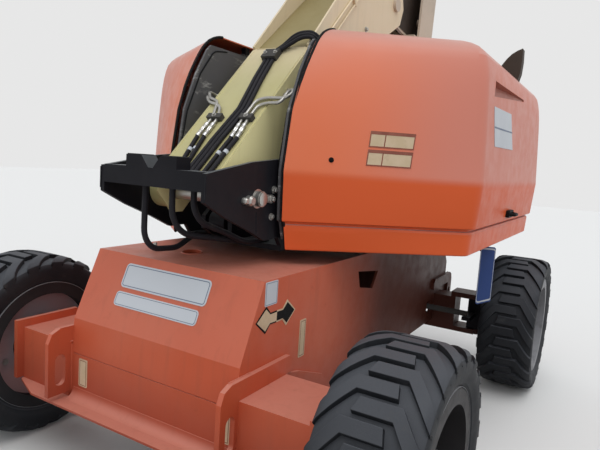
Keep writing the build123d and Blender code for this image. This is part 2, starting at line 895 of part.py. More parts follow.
def bend_radii(points, largest):
    radii = []
    for a, p, b in zip(points, points[1:], points[2:]):
        back, on = Vector(*a) - Vector(*p), Vector(*b) - Vector(*p)
        half_turn = radians(180 - back.get_angle(on)) / 2
        radii.append(min(largest, 0.45 * min(back.length, on.length) / tan(half_turn)))
    return radii


def hose(points, radius):
    path = FilletPolyline(*points, radius=bend_radii(points, hose_bend))
    return sweep(Plane(origin=path @ 0, z_dir=path % 0) * Circle(radius), path=path)


def lid_point(s, y, rise):
    """A point over the tower's lid, at the height of the fittings that lie on it."""
    x, z = tower_point(s, tower_top_n + seat_gap + fitting_radius + rise)
    return (x, y, z)


def make_tower_hoses():
    hoses = []
    lower = hose_radius - fitting_radius
    for k in (-1, 0, 1):
        shift = k * bundle_pitch
        points = []
        for s, y, rise in bundle_run:
            turned = s > bundle_clamp[1]
            corner = rise == bundle_run[-4][2] and y < bundle_clamp[3] + 80
            ds = -shift if turned else 0
            dy = shift if not turned or corner else 0
            points.append(lid_point(s + ds, y + dy, rise + lower))
        hoses.append(hose(points, hose_radius))
    for edge_y, mid_y, end_y in short_hoses:
        front = bundle_run[0][0]
        points = [lid_point(s, y, lower) for s, y in ((front, edge_y), (90, mid_y))]
        points.append(lid_point(tube_start_s - hose_end_gap, end_y, lower))
        hoses.append(hose(points, hose_radius))
    return Compound(hoses)


def make_tower_tubes():
    tubes = []
    for run in tube_runs:
        points = [lid_point(*p) for p in run]
        tube = hose(points, tube_radius)
        a, b = Vector(*points[0]), Vector(*points[1])
        end = a + (b - a).normalized() * fitting_length
        tubes.append(tube + rod_between(tuple(a), tuple(end), fitting_radius))
    return Compound(tubes)


def make_hose_clamps(hoses, tubes):
    top = tower_top_n
    blocks = []
    for (s0, s1, y0, y1), height in ((tube_clamps[0], clamp_height), (tube_clamps[1], clamp_height),
                                     (bundle_clamp, bundle_clamp_height)):
        block = tower_plate([(s0, top), (s1, top), (s1, top + height), (s0, top + height)], y0, y1)
        blocks.append(block)
    clamps = []
    for block in blocks:
        for piece in list(hoses.solids()) + list(tubes.solids()):
            block -= piece
        clamps += list(block.solids())
    return Compound(clamps)


def make_hose_loops():
    return Compound([hose(points, loop_radius) for points in loop_runs])


# Upright

def make_upright():
    y1 = upright_half_width
    y0 = y1 - upright_wall
    outline = [
        upright_point(upright_front_low, upright_low),
        upright_point(upright_front_high, upright_high - 120),
        upright_point(upright_front_high - 20, upright_high),
        upright_point(upright_rear_high + 60, upright_high),
        upright_point(upright_rear_high, upright_high - 80),
        upright_point(upright_rear_low, upright_low),
    ]
    column = both_sides(side_plate(outline, y0, y1))
    lean = (upright_rear_high - upright_rear_low) / (upright_high - 80 - upright_low)
    back_top_x = upright_rear_low + lean * (back_plate_top - upright_low)
    back = [
        upright_point(upright_rear_low, upright_low),
        upright_point(upright_rear_low + 16, upright_low),
        upright_point(back_top_x + 16, back_plate_top),
        upright_point(back_top_x, back_plate_top),
    ]
    column += side_plate(back, -y0, y0)
    x, z = upright_pin
    arm = side_plate([
        upright_point(70, -60), upright_point(70, 60), upright_point(-40, 95),
        upright_point(upright_front_low - 30, arm_top),
        upright_point(upright_rear_low + lean * (arm_top - upright_low) + 8, arm_top),
        upright_point(upright_rear_low + 8, upright_low + 7),
        upright_point(upright_front_low, upright_low + 7), upright_point(-60, -80),
    ], arm_half_width - arm_wall, arm_half_width)
    column += both_sides(arm)
    bridge = box(x + upright_rear_low + 8, x + upright_front_low + 60, -y0, y0,
                 z + upright_low, z + upright_low + 14)
    column += bridge
    bx, bz = main_point(main_cylinder_dx, main_cylinder_dz)
    column += rod_y(bx, bz, cylinder_pin_radius, -arm_half_width - 10, arm_half_width + 10)
    column -= rod_y(x, z, upright_pin_radius + bearing_gap, -300, 300)
    mx, mz = main_pin
    column -= rod_y(mx, mz, main_pin_radius, -300, 300)
    return column


def make_upright_pin():
    x, z = upright_pin
    y = tower_half_width + 18
    return rod_y(x, z, upright_pin_radius, -y, y)


def make_main_pin():
    x, z = main_pin
    y = upright_half_width + 18
    return rod_y(x, z, main_pin_radius, -y, y)


# Main boom

def square_tube(x0, x1, z, half_width, half_height, wall):
    tube = box(x0, x1, -half_width, half_width, z - half_height, z + half_height)
    room = box(x0 - 1, x1 + 1, -half_width + wall, half_width - wall,
               z - half_height + wall, z + half_height - wall)
    return tube - room


def make_main_boom():
    x, z = main_pin
    centre = z + 60
    tube = square_tube(x - main_tail, x + main_length, centre, main_half_width,
                       main_half_height, main_wall)
    keel_x = x + keel_reach
    bushing = main_half_width
    tube += both_sides(rod_y(x, z, 90, bushing, upright_half_width - upright_wall - 3))
    mx, mz = main_point(main_cylinder_reach, -main_cylinder_drop)
    y0 = barrel_radius + ear_gap
    y1 = y0 + ear_wall
    ear = side_plate([
        (mx - 140, centre - main_half_height + 2), (mx + 140, centre - main_half_height + 2),
        (mx + 56, mz - 48), (mx - 56, mz - 48)], y0, y1)
    tube += both_sides(ear + rod_y(mx, mz, cylinder_pin_radius, y1, y1 + 12))
    keel = box(keel_x - 90, keel_x + 90, -18, 18, centre - main_half_height - keel_drop,
               centre - main_half_height + 2)
    tube += keel
    collar = 26
    hw, hh = main_half_width - main_wall, main_half_height - main_wall
    pad = fly_clearance - pad_gap
    x1 = x + main_length - 10
    for y0, y1, z0, z1 in ((-60, 60, -hh, pad - hh), (-60, 60, hh - pad, hh),
                           (-hw, pad - hw, -70, 70), (hw - pad, hw, -70, 70)):
        tube += box(x1 - pad_length, x1, y0, y1, centre + z0, centre + z1)
    tube += square_tube(x + main_length - 120, x + main_length, centre,
                        main_half_width + collar, main_half_height + collar, main_wall + collar)
    tube -= rod_y(x, z, main_pin_radius + 1, -300, 300)
    return tube


def fly_sizes():
    x, z = main_pin
    half_width = main_half_width - main_wall - fly_clearance
    half_height = main_half_height - main_wall - fly_clearance
    return x, z + 60, half_width, half_height


def make_fly_boom():
    x, z, half_width, half_height = fly_sizes()
    end = x + main_length + fly_out
    tube = square_tube(x + main_length - fly_overlap, end, z, half_width, half_height, fly_wall)
    cheek = side_plate([
        (end, z + half_height), (end + 160, z + 40), (end + 210, z - nose_drop + 60),
        (end + 210, z - nose_drop - 60), (end + 90, z - nose_drop - 75), (end, z - half_height),
    ], half_width - 24, half_width)
    x, z = nose_pin()
    pin = rod_y(x, z, nose_pin_radius, -half_width, half_width)
    return tube + both_sides(cheek) + pin


def nose_pin():
    x, z, half_width, half_height = fly_sizes()
    return (x + main_length + fly_out + 140, z - nose_drop)


def make_platform_support():
    x, z = nose_pin()
    half_width = fly_sizes()[2]
    y = half_width - 24 - bearing_gap
    hub = rod_y(x, z, 58, -y, y)
    link = box(x, x + 260, -support_arm_half, support_arm_half, z - 45, z + 45)
    housing = rod_z(x + 330, 0, rotator_radius, z - rotator_height / 2 - 20, z + rotator_height / 2)
    spindle = rod_z(x + 330, 0, rotator_spindle, z - spindle_reach, z)
    bore = rod_y(x, z, nose_pin_radius + bearing_gap, -y - 5, y + 5)
    return hub + link + housing + spindle - bore


def platform_x():
    x, z = nose_pin()
    return x + 330 + 190


def floor_z():
    x, z = nose_pin()
    return z - support_arm_height


def make_platform_floor():
    x0 = platform_x()
    x, z = nose_pin()
    z0 = floor_z()
    half = platform_length / 2
    floor = box(x0, x0 + platform_depth, -half, half, z0, z0 + floor_wall)
    edge = 2 * post_radius + deck_gap
    floor += box(x0 + edge, x0 + platform_depth - edge, -half + edge, half - edge,
                 z0 + floor_wall, z0 + floor_wall + deck_rise)
    under = z0 - floor_beam_height
    for y in (-half + 60, -half / 3, half / 3, half - 60):
        floor += box(x0 + 20, x0 + platform_depth - 20, y - 25, y + 25, under, z0)
    post_x = x + 330
    top = z - rotator_height / 2 - 20 - bearing_gap
    post = box(post_x - 60, post_x + 60, -70, 70, under, top)
    foot = box(post_x - 60, x0 + 320, -160, 160, under, z0)
    bore = rod_z(post_x, 0, rotator_spindle + bearing_gap, z - spindle_reach - end_gap, top + 5)
    return floor + post + foot - bore


def make_platform_rails():
    x0 = platform_x() + post_radius
    x1 = x0 + platform_depth - 2 * post_radius
    half = platform_length / 2 - post_radius
    z0 = floor_z() + floor_wall
    top = z0 + rail_height - post_radius
    mid = z0 + rail_height / 2
    gate_low, gate_high = -half + gate_offset, -half + gate_offset + gate_width
    columns = [(x0, gate_low), (x0, gate_high), (x0, -half), (x0, half), (x0, half / 3),
               (x1, -half), (x1, half), (x1, -half / 3), (x1, half / 3)]
    posts = [rod_z(x, y, post_radius, z0, z0 + rail_height) for x, y in columns]
    spans = []
    for z in (mid, top):
        spans += [((x0, -half, z), (x0, gate_low, z)), ((x0, gate_high, z), (x0, half, z))]
        spans += [((x1, -half, z), (x1, half, z))]
        spans += [((x0, y, z), (x1, y, z)) for y in (-half, half)]
    rails = posts[0]
    for shape in posts[1:] + [rod_between(a, b, rail_radius) for a, b in spans]:
        rails += shape
    toe = toe_wall / 2
    rails += box(x1 - toe, x1 + toe, -half, half, z0, z0 + toe_height)
    rails += box(x0 - toe, x0 + toe, -half, gate_low, z0, z0 + toe_height)
    rails += box(x0 - toe, x0 + toe, gate_high, half, z0, z0 + toe_height)
    for y in (-half, half):
        rails += box(x0, x1, y - toe, y + toe, z0, z0 + toe_height)
    thick = anchor_wall / 2
    for y in (-half * 2 / 3, half * 2 / 3):
        reach = anchor_radius + anchor_rim
        rails += box(x1 - thick, x1 + thick, y - reach, y + reach, top - anchor_drop - reach, top)
        rails -= rod_x(y, top - anchor_drop, anchor_radius, x1 - anchor_wall, x1 + anchor_wall)
    return rails


def make_gate():
    x0 = platform_x() + post_radius
    half = platform_length / 2 - post_radius
    z0 = floor_z() + floor_wall
    axis_y = -half + gate_offset
    r = gate_post_radius
    y0 = axis_y + post_radius + gate_gap + r
    y1 = axis_y + gate_width - post_radius - gate_gap - r
    low, top = z0 + gate_foot, z0 + rail_height - gate_drop
    gate = rod_z(x0, y0, r, low - 20, top + 20) + rod_z(x0, y1, r, low - 20, top + 20)
    for z in (low, (low + top) / 2, top):
        gate += rod_between((x0, y0, z), (x0, y1, z), gate_bar_radius)
    bore = rod_z(x0, axis_y, post_radius + bearing_gap, low - 50, top + 50)
    for z in (low + 60, top - 160):
        sleeve = rod_z(x0, axis_y, post_radius + gate_gap, z, z + 50)
        sleeve += box(x0 - 4, x0 + 4, axis_y, y0, z + 5, z + 45)
        gate += sleeve - bore
    return gate


def make_control_box():
    x1 = platform_x() + platform_depth - post_radius - rail_radius
    z1 = floor_z() + floor_wall + rail_height - 20
    outline = [(x1, z1 - 190), (x1, z1 + 60), (x1 - 90, z1 + 60), (x1 - 240, z1 - 60),
               (x1 - 240, z1 - 190)]
    return side_plate(outline, -260, 260)


# Lift cylinders

def make_barrel(base, tip, barrel_share):
    """Barrel from its eye at base, pointing at tip."""
    bx, bz = base
    tx, tz = tip
    span = ((tx - bx) ** 2 + (tz - bz) ** 2) ** 0.5
    ux, uz = (tx - bx) / span, (tz - bz) / span
    length = span * barrel_share
    eye = rod_y(bx, bz, eye_radius, -eye_half_width, eye_half_width)
    body = rod_between((bx + ux * 40, 0, bz + uz * 40), (bx + ux * length, 0, bz + uz * length),
                       barrel_radius)
    gland = length - gland_length
    bore = rod_between((bx + ux * 110, 0, bz + uz * 110),
                       (bx + ux * gland, 0, bz + uz * gland), rod_radius + 3)
    bore += rod_between((bx + ux * gland, 0, bz + uz * gland),
                        (bx + ux * (length + 5), 0, bz + uz * (length + 5)),
                        rod_radius + bearing_gap)
    bore += rod_y(bx, bz, cylinder_pin_radius + 1, -eye_half_width - 5, eye_half_width + 5)
    return (eye + body) - bore


def make_rod(base, tip, start):
    bx, bz = base
    tx, tz = tip
    span = ((tx - bx) ** 2 + (tz - bz) ** 2) ** 0.5
    ux, uz = (tx - bx) / span, (tz - bz) / span
    stem = rod_between((bx + ux * start, 0, bz + uz * start),
                       (tx - ux * 30, 0, tz - uz * 30), rod_radius)
    return stem + rod_y(tx, tz, eye_radius - 8, -eye_half_width, eye_half_width)


tower_base = (tower_cylinder_x, tower_cylinder_z)
tower_tip = tower_point(tower_cylinder_s, tower_cylinder_n)
main_base = main_point(main_cylinder_dx, main_cylinder_dz)
main_tip = main_point(main_cylinder_reach, -main_cylinder_drop)

parts = {}
parts["chassis_frame"] = make_chassis()
parts["drive_axle"] = make_drive_axle()
parts["skid_plate"] = make_skid()
parts["steer_axle"] = make_steer_axle()
parts["swing_bearing"] = make_bearing()
for end, x in (("drive", axle_x), ("steer", -axle_x)):
    for side, y in (("left", wheel_y), ("right", -wheel_y)):
        tyre, rim = wheel_set(x, y, end == "drive")
        parts[f"{end}_tyre_{side}"] = tyre
        parts[f"{end}_rim_{side}"] = rim
parts["knuckle_left"] = make_knuckle()
parts["knuckle_right"] = mirrored(make_knuckle())
parts["tie_rod"] = make_tie_rod()
parts["turntable_frame"] = make_turntable_frame()
parts["tower_pin"] = make_tower_pin()
parts["hood_trays"] = make_trays()
parts["counterweight"] = make_counterweight()
parts["inner_panels"] = make_inner_panels()
parts["engine"] = make_engine()
parts["tank"] = make_tank()
parts["hood_left"] = make_hood()
parts["hood_right"] = mirrored(make_hood())
parts["tower_boom"] = make_tower()
parts["tower_hoses"] = make_tower_hoses()
parts["tower_tubes"] = make_tower_tubes()
parts["hose_clamps"] = make_hose_clamps(parts["tower_hoses"], parts["tower_tubes"])
parts["front_hose_loops"] = make_hose_loops()
parts["upright"] = make_upright()
parts["upright_pin"] = make_upright_pin()
parts["main_pin"] = make_main_pin()
parts["main_boom"] = make_main_boom()
parts["fly_boom"] = make_fly_boom()
parts["platform_support"] = make_platform_support()
parts["platform_floor"] = make_platform_floor()
parts["platform_rails"] = make_platform_rails()
parts["platform_gate"] = make_gate()
parts["platform_controls"] = make_control_box()
parts["tower_cylinder_barrel"] = make_barrel(tower_base, tower_tip, tower_barrel_share)
parts["tower_cylinder_rod"] = make_rod(tower_base, tower_tip, tower_rod_start)
parts["main_cylinder_barrel"] = make_barrel(main_base, main_tip, main_barrel_share)
parts["main_cylinder_rod"] = make_rod(main_base, main_tip, main_rod_start)

boxes = [shape.bounding_box() for shape in parts.values()]
centre_x = (min(b.min.X for b in boxes) + max(b.max.X for b in boxes)) / 2

os.makedirs("parts", exist_ok=True)
for name, shape in parts.items():
    export_step(Pos(-centre_x, 0, 0) * shape, f"parts/{name}.step")
print("centre_x", round(centre_x, 3), "nodes", len(parts))
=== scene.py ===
import bpy
import bmesh
import json
from math import cos, pi, radians, sin, tan
from mathutils import Matrix, Vector


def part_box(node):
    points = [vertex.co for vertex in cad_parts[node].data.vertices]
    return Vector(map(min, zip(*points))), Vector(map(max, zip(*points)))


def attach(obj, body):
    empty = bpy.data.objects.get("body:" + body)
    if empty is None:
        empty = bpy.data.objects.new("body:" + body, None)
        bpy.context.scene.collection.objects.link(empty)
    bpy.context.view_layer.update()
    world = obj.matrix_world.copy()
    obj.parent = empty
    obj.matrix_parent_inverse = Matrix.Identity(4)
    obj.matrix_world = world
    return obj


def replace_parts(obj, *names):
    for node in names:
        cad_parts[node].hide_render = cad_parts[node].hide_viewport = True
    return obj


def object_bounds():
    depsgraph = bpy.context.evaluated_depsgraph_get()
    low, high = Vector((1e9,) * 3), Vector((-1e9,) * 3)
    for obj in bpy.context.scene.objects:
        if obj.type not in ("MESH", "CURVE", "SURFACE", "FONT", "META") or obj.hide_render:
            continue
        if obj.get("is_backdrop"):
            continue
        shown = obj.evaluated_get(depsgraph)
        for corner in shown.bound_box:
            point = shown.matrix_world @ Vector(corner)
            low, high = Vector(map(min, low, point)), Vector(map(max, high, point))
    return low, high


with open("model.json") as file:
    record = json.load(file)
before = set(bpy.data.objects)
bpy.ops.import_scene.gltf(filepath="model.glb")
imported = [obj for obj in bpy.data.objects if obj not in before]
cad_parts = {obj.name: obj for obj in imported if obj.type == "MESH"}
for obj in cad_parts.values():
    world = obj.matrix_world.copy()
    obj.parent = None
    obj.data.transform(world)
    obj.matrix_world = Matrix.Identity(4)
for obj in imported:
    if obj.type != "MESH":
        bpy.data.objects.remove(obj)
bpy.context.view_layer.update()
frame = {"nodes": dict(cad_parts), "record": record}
nodes = frame["nodes"]
scene = bpy.context.scene

X, Y, Z = Vector((1, 0, 0)), Vector((0, 1, 0)), Vector((0, 0, 1))
AFT, NOWHERE = Vector((-1, 0, 0)), Vector((0, 0, 0))
BOTH = (1, -1)
CORNERS = ((-1, -1), (1, -1), (1, 1), (-1, 1))
SIDES = ((1, "left"), (-1, "right"))

# Machine coordinates in metres: x from the swing axis toward the platform, y to the left, z up
PIN_X, PIN_Z = 1.07, 1.355
pin_low, pin_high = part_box("tower_pin")
SHIFT = (pin_low[0] + pin_high[0]) / 2 - PIN_X


def M(x, y, z):
    return Vector((x + SHIFT, y, z))


# Tower coordinates: s along the boom from its pin, n square to it and up
RISE = radians(44.5)
ALONG = Vector((-cos(RISE), 0, sin(RISE)))
ACROSS = Vector((sin(RISE), 0, cos(RISE)))


def T(s, y, n):
    return M(PIN_X, y, PIN_Z) + ALONG * s + ACROSS * n


# Levels between which each layer of a surface comes in, stretch and share of the long marks
BLOTCH_EDGE, FINE_EDGE = (0.32, 0.72), (0.3, 0.75)
PAINTED_SIDE_LIGHT_EDGE, PAINTED_SHEEN_EDGE = (0.5, 0.95), (0.02, 1.0)
STREAK_EDGE, STREAK_STRETCH = (0.5, 0.75), (7.0, 7.0, 0.45)
SCUFF_EDGE, SCUFF_STRETCH, SCUFF_SHARE = (0.56, 0.68), (1.0, 1.0, 2.6), 0.7
COAT_ROUGHNESS, BUMP_HEIGHT = 0.18, 0.002


def node(tree, kind, inputs, output=0, **settings):
    """Adds a shader node and gives one of its sockets. An input takes a value or a socket."""
    n = tree.nodes.new(f"ShaderNode{kind}")
    for key, value in settings.items():
        setattr(n, key, value)
    for key, value in inputs.items():
        if isinstance(value, bpy.types.NodeSocket):
            tree.links.new(value, n.inputs[key])
        else:
            n.inputs[key].default_value = value
    return n.outputs[output] if len(n.outputs) else None


def empty_tree(owner):
    owner.use_nodes = True
    owner.node_tree.nodes.clear()
    return owner.node_tree


def noise(t, coord, scale, detail, rough=0.55, stretch=None):
    if stretch:
        coord = node(t, "Mapping", {"Vector": coord, "Scale": stretch})
    return node(t, "TexNoise", {"Vector": coord, "Scale": scale, "Detail": detail, "Roughness": rough}, "Fac")


def ramp(t, level, edge, start=0.0, end=1.0):
    """Goes softly from start to end while the level crosses the edge."""
    inputs = {"Value": level, "From Min": edge[0], "From Max": edge[1], "To Min": start, "To Max": end}
    return node(t, "MapRange", inputs, "Result", interpolation_type="SMOOTHSTEP")


def mix(t, fac, a, b):
    a, b = [(*value, 1.0) if isinstance(value, tuple) else value for value in (a, b)]
    return node(t, "Mix", {0: fac, 6: a, 7: b}, 2, data_type="RGBA")


def size_of(t, value):
    return node(t, "Math", {0: value}, operation="ABSOLUTE")


def surface(name, base, faded, grime, rough=0.5, metal=0.0, coat=0.0, gloss=0.3, bump=0.0,
            grain=180.0, blotch=1.6, spots=(0.62, 0.85, 0.4), streaks=0.0, sky=None,
            flank=None, low=None, aft=None, outer=None, scuffs=None):
    """Base and faded colour in blotches, with spots of grime by two levels and a share.
    sky: painted sky reflection, colour and share on faces that look up. flank: painted light, the
    same on faces that look sideways. low, aft, outer: painted light and shade, colour, where it is
    full and where it ends, by z, x and distance from the middle. scuffs: worn stripes."""
    material = bpy.data.materials.new(name)
    t = empty_tree(material)
    co = node(t, "TexCoord", {}, "Object")
    normal = node(t, "TexCoord", {}, "Normal")

    def layer(under, level, edge, tint, share=1.0):
        return mix(t, ramp(t, level, edge, 0.0, share), under, tint)

    colour = layer(base, noise(t, co, blotch, 3.0), BLOTCH_EDGE, faded)
    x, y, z = [node(t, "SeparateXYZ", {0: co}, axis) for axis in "XYZ"]
    sideways, upward = [node(t, "SeparateXYZ", {0: normal}, axis) for axis in "YZ"]
    # Painted light and shade: sheen on faces that look up, light on side faces, and lighter and darker bands
    # by height, toward the rear and away from the middle
    for spec, level, edge in ((flank, size_of(t, sideways), PAINTED_SIDE_LIGHT_EDGE), (outer, size_of(t, y), None),
                              (low, z, None), (sky, upward, PAINTED_SHEEN_EDGE), (aft, x, None)):
        if spec and edge:
            colour = layer(colour, level, edge, *spec)
        elif spec:
            tint, full, none = spec
            colour = layer(colour, level, (none, full), tint)
    fine = noise(t, co, 11.0, 6.0, 0.65)
    colour = layer(colour, fine, spots[:2], grime, spots[2])
    if streaks:
        runs = noise(t, co, 3.0, 5.0, 0.6, STREAK_STRETCH)
        colour = layer(colour, runs, STREAK_EDGE, grime, streaks)
    if scuffs:
        rub = noise(t, co, 6.0, 8.0, 0.72, SCUFF_STRETCH)
        colour = layer(colour, rub, SCUFF_EDGE, scuffs, SCUFF_SHARE)
    inputs = {"Base Color": colour, "Roughness": ramp(t, fine, FINE_EDGE, rough - 0.05, rough + 0.12),
              "Metallic": metal, "Specular IOR Level": gloss, "Coat Weight": coat,
              "Coat Roughness": COAT_ROUGHNESS}
    if bump:
        height = noise(t, co, grain, 3.0)
        inputs["Normal"] = node(t, "Bump", {"Strength": bump, "Distance": BUMP_HEIGHT, "Height": height})
    node(t, "OutputMaterial", {0: node(t, "BsdfPrincipled", inputs)})
    return material


# Surfaces: name, base, faded and grime colours, then how each shines and wears, with painted light and shade
# in some
# Orange enamel: the pinker up-facing tops are painted sky reflection, and the darkening low down and toward
# the rear is painted shade
ORANGE = surface(
    "orange_enamel", (0.57, 0.1, 0.04), (0.59, 0.13, 0.064), (0.2, 0.07, 0.04), rough=0.46, bump=0.06,
    grain=90.0, streaks=0.14, sky=((0.53, 0.2, 0.145), 0.9), low=((0.36, 0.066, 0.032), 0.35, 0.7),
    aft=((0.085, 0.022, 0.013), SHIFT - 0.1, SHIFT + 0.8))
# Hood: the pink on up-facing faces and on the outer sides is painted sky reflection, and the deeper orange
# below the crease is painted as the band that gets no such sheen
HOOD = surface(
    "orange_hood", (0.8, 0.19, 0.08), (0.78, 0.205, 0.105), (0.5, 0.14, 0.08), rough=0.38, coat=0.03,
    gloss=0.16, bump=0.01, grain=45.0, blotch=1.1, spots=(0.68, 0.9, 0.3),
    outer=((0.68, 0.24, 0.175), 1.02, 0.42), sky=((0.53, 0.305, 0.265), 0.85),
    low=((0.76, 0.125, 0.036), 1.45, 1.5))
# Cream enamel: the paler side faces and the paler plates high up are painted light, where these get less
# shade
CREAM = surface(
    "cream_enamel", (0.5, 0.455, 0.215), (0.54, 0.5, 0.27), (0.32, 0.28, 0.17), rough=0.45, bump=0.06,
    streaks=0.14, spots=(0.64, 0.85, 0.35), flank=((0.96, 0.87, 0.46), 1.0),
    low=((0.78, 0.65, 0.45), 2.25, 1.85))
CREAM_WORN = surface(
    "cream_worn", (0.56, 0.47, 0.37), (0.6, 0.49, 0.38), (0.3, 0.25, 0.19), bump=0.08, blotch=2.4,
    spots=(0.58, 0.8, 0.35))
CREAM_SHADE = surface(
    "cream_shaded", (0.31, 0.255, 0.115), (0.35, 0.285, 0.14), (0.16, 0.12, 0.06), rough=0.55,
    gloss=0.25, bump=0.08, blotch=2.4)
# Black enamel: the pale grey on up-facing faces is painted sky reflection
BLACK = surface(
    "black_enamel", (0.009, 0.009, 0.012), (0.014, 0.013, 0.017), (0.034, 0.033, 0.036), rough=0.42,
    gloss=0.12, bump=0.1, streaks=0.1, spots=(0.62, 0.85, 0.5), sky=((0.11, 0.118, 0.125), 0.9))
# Dark brown that stands for shade: painted shade on the upright's arms, the exhaust deflector and the blue
# plate's arm
PAINTED_SHADE_BROWN = surface(
    "painted_shade_brown", (0.045, 0.034, 0.027), (0.065, 0.05, 0.04), (0.02, 0.016, 0.014), rough=0.6,
    gloss=0.2, bump=0.15, spots=(0.5, 0.75, 0.6))
# Inner dish of the drive wheels: its red-brown tint and its raised brightness are painted reflected light in
# the wheel's shade
DISH_PAINTED_LIGHT = surface(
    "rim_dish_painted_light", (0.44, 0.21, 0.2), (0.33, 0.32, 0.35), (0.1, 0.08, 0.08), gloss=0.15, bump=0.1,
    blotch=2.2, spots=(0.6, 0.85, 0.4))
IRON = surface(
    "cast_iron", (0.05, 0.048, 0.046), (0.08, 0.075, 0.07), (0.15, 0.1, 0.07), rough=0.7, bump=0.5,
    grain=120.0, spots=(0.55, 0.75, 0.5))
# Tyre rubber: the greyer up-facing lug tops are painted sky reflection, while the grime is dust
RUBBER = surface(
    "tyre_rubber", (0.016, 0.0175, 0.021), (0.024, 0.0255, 0.029), (0.075, 0.074, 0.074), rough=0.6,
    gloss=0.2, bump=0.3, grain=140.0, blotch=5.0, spots=(0.55, 0.78, 0.5),
    sky=((0.07, 0.075, 0.086), 0.9))
HOSE = surface(
    "hose_cover", (0.012, 0.011, 0.015), (0.018, 0.017, 0.022), (0.05, 0.045, 0.045), gloss=0.2,
    bump=0.2, grain=320.0, spots=(0.55, 0.75, 0.5))
DARK_RIM = surface(
    "dark_rim_paint", (0.024, 0.023, 0.025), (0.036, 0.033, 0.034), (0.03, 0.024, 0.024), gloss=0.15,
    bump=0.1, blotch=3.0, spots=(0.55, 0.8, 0.5))
RIM = surface(
    "rim_paint", (0.24, 0.24, 0.255), (0.3, 0.3, 0.31), (0.1, 0.09, 0.085), gloss=0.25, bump=0.15,
    spots=(0.5, 0.75, 0.5), streaks=0.2)
STEEL = surface(
    "bare_steel", (0.42, 0.41, 0.39), (0.5, 0.49, 0.46), (0.2, 0.16, 0.12), rough=0.33, metal=0.85,
    gloss=0.5, bump=0.15, spots=(0.55, 0.8, 0.5))
CHROME = surface(
    "chrome_rod", (0.6, 0.6, 0.61), (0.66, 0.66, 0.67), (0.4, 0.38, 0.35), rough=0.16, metal=1.0,
    gloss=0.5, bump=0.02)
ALLOY = surface(
    "deck_alloy", (0.36, 0.36, 0.35), (0.44, 0.44, 0.42), (0.2, 0.19, 0.17), rough=0.45, metal=0.7,
    gloss=0.5, bump=0.3, grain=60.0)
PLASTIC = surface(
    "dark_plastic", (0.024, 0.025, 0.027), (0.038, 0.039, 0.041), (0.1, 0.095, 0.09), gloss=0.25,
    bump=0.25, grain=220.0, spots=(0.55, 0.8, 0.5))
LINER = surface(
    "scratched_liner", (0.095, 0.094, 0.1), (0.125, 0.122, 0.13), (0.2, 0.2, 0.2), gloss=0.25, bump=0.2,
    grain=120.0, scuffs=(0.5, 0.49, 0.48))
SEAL = surface(
    "edge_seal", (0.007, 0.007, 0.008), (0.012, 0.012, 0.013), (0.035, 0.032, 0.03), rough=0.62,
    gloss=0.15, bump=0.2, grain=260.0)
PLATE = surface(
    "plate_white", (0.54, 0.57, 0.61), (0.58, 0.61, 0.65), (0.34, 0.34, 0.34), rough=0.4, bump=0.02,
    spots=(0.62, 0.85, 0.35))
PLATE_LINE = surface(
    "plate_line", (0.14, 0.17, 0.24), (0.18, 0.22, 0.3), (0.28, 0.28, 0.28), rough=0.45, gloss=0.2,
    bump=0.02)
LABEL = surface(
    "label_cream", (0.58, 0.45, 0.29), (0.64, 0.5, 0.34), (0.32, 0.22, 0.14), rough=0.48, gloss=0.25,
    bump=0.03, blotch=20.0, spots=(0.55, 0.75, 0.5))
HEADER = surface(
    "label_brown", (0.24, 0.08, 0.055), (0.3, 0.11, 0.075), (0.5, 0.38, 0.28), gloss=0.2, bump=0.03,
    blotch=14.0)
INK = surface(
    "arrow_black", (0.008, 0.008, 0.009), (0.013, 0.013, 0.013), (0.04, 0.035, 0.035), gloss=0.05,
    bump=0.03)
BLUE = surface(
    "plate_blue", (0.035, 0.07, 0.22), (0.05, 0.09, 0.26), (0.1, 0.12, 0.16), rough=0.42, gloss=0.2,
    bump=0.04, spots=(0.6, 0.85, 0.4))
# Darker orange inside the hood's scoop: painted shade in the recess
SCOOP_PAINTED_SHADE = surface(
    "scoop_painted_shade", (0.44, 0.15, 0.1), (0.48, 0.17, 0.12), (0.28, 0.1, 0.065), rough=0.4, bump=0.03)
RED = surface(
    "stop_red", (0.5, 0.02, 0.015), (0.56, 0.03, 0.02), (0.2, 0.02, 0.02), rough=0.35, gloss=0.5,
    bump=0.03)

FINISH = {
    "orange_paint": ORANGE, "cream_paint": CREAM, "black_paint": BLACK, "hood_orange": HOOD,
    "iron": IRON, "tyre": RUBBER, "rim_grey": RIM, "steel": STEEL, "chrome": CHROME,
    "alloy": ALLOY, "plastic": PLASTIC, "rubber": HOSE,
}
SPECIAL = {
    "drive_rim_left": DARK_RIM, "drive_rim_right": DARK_RIM, "inner_panels": LINER,
    "upright_pin": CREAM_WORN, "upright": CREAM_WORN, "hose_clamps": IRON, "tie_rod": IRON,
}
for part in frame["record"]["subparts"]:
    o = nodes[part["node"]]
    o.data.materials.clear()
    o.data.materials.append(SPECIAL.get(part["node"], FINISH[part["material_slot"]]))


# Mesh helpers: each gives vertices and faces, which make() turns into a piece
BEVEL_ANGLE, BEVEL_CUTS = 35, 2
ARC_STEPS = 6


def turns(count):
    return [2 * pi * k / count for k in range(count)]


def place(name, data):
    o = bpy.data.objects.new(name, data)
    scene.collection.objects.link(o)
    return o


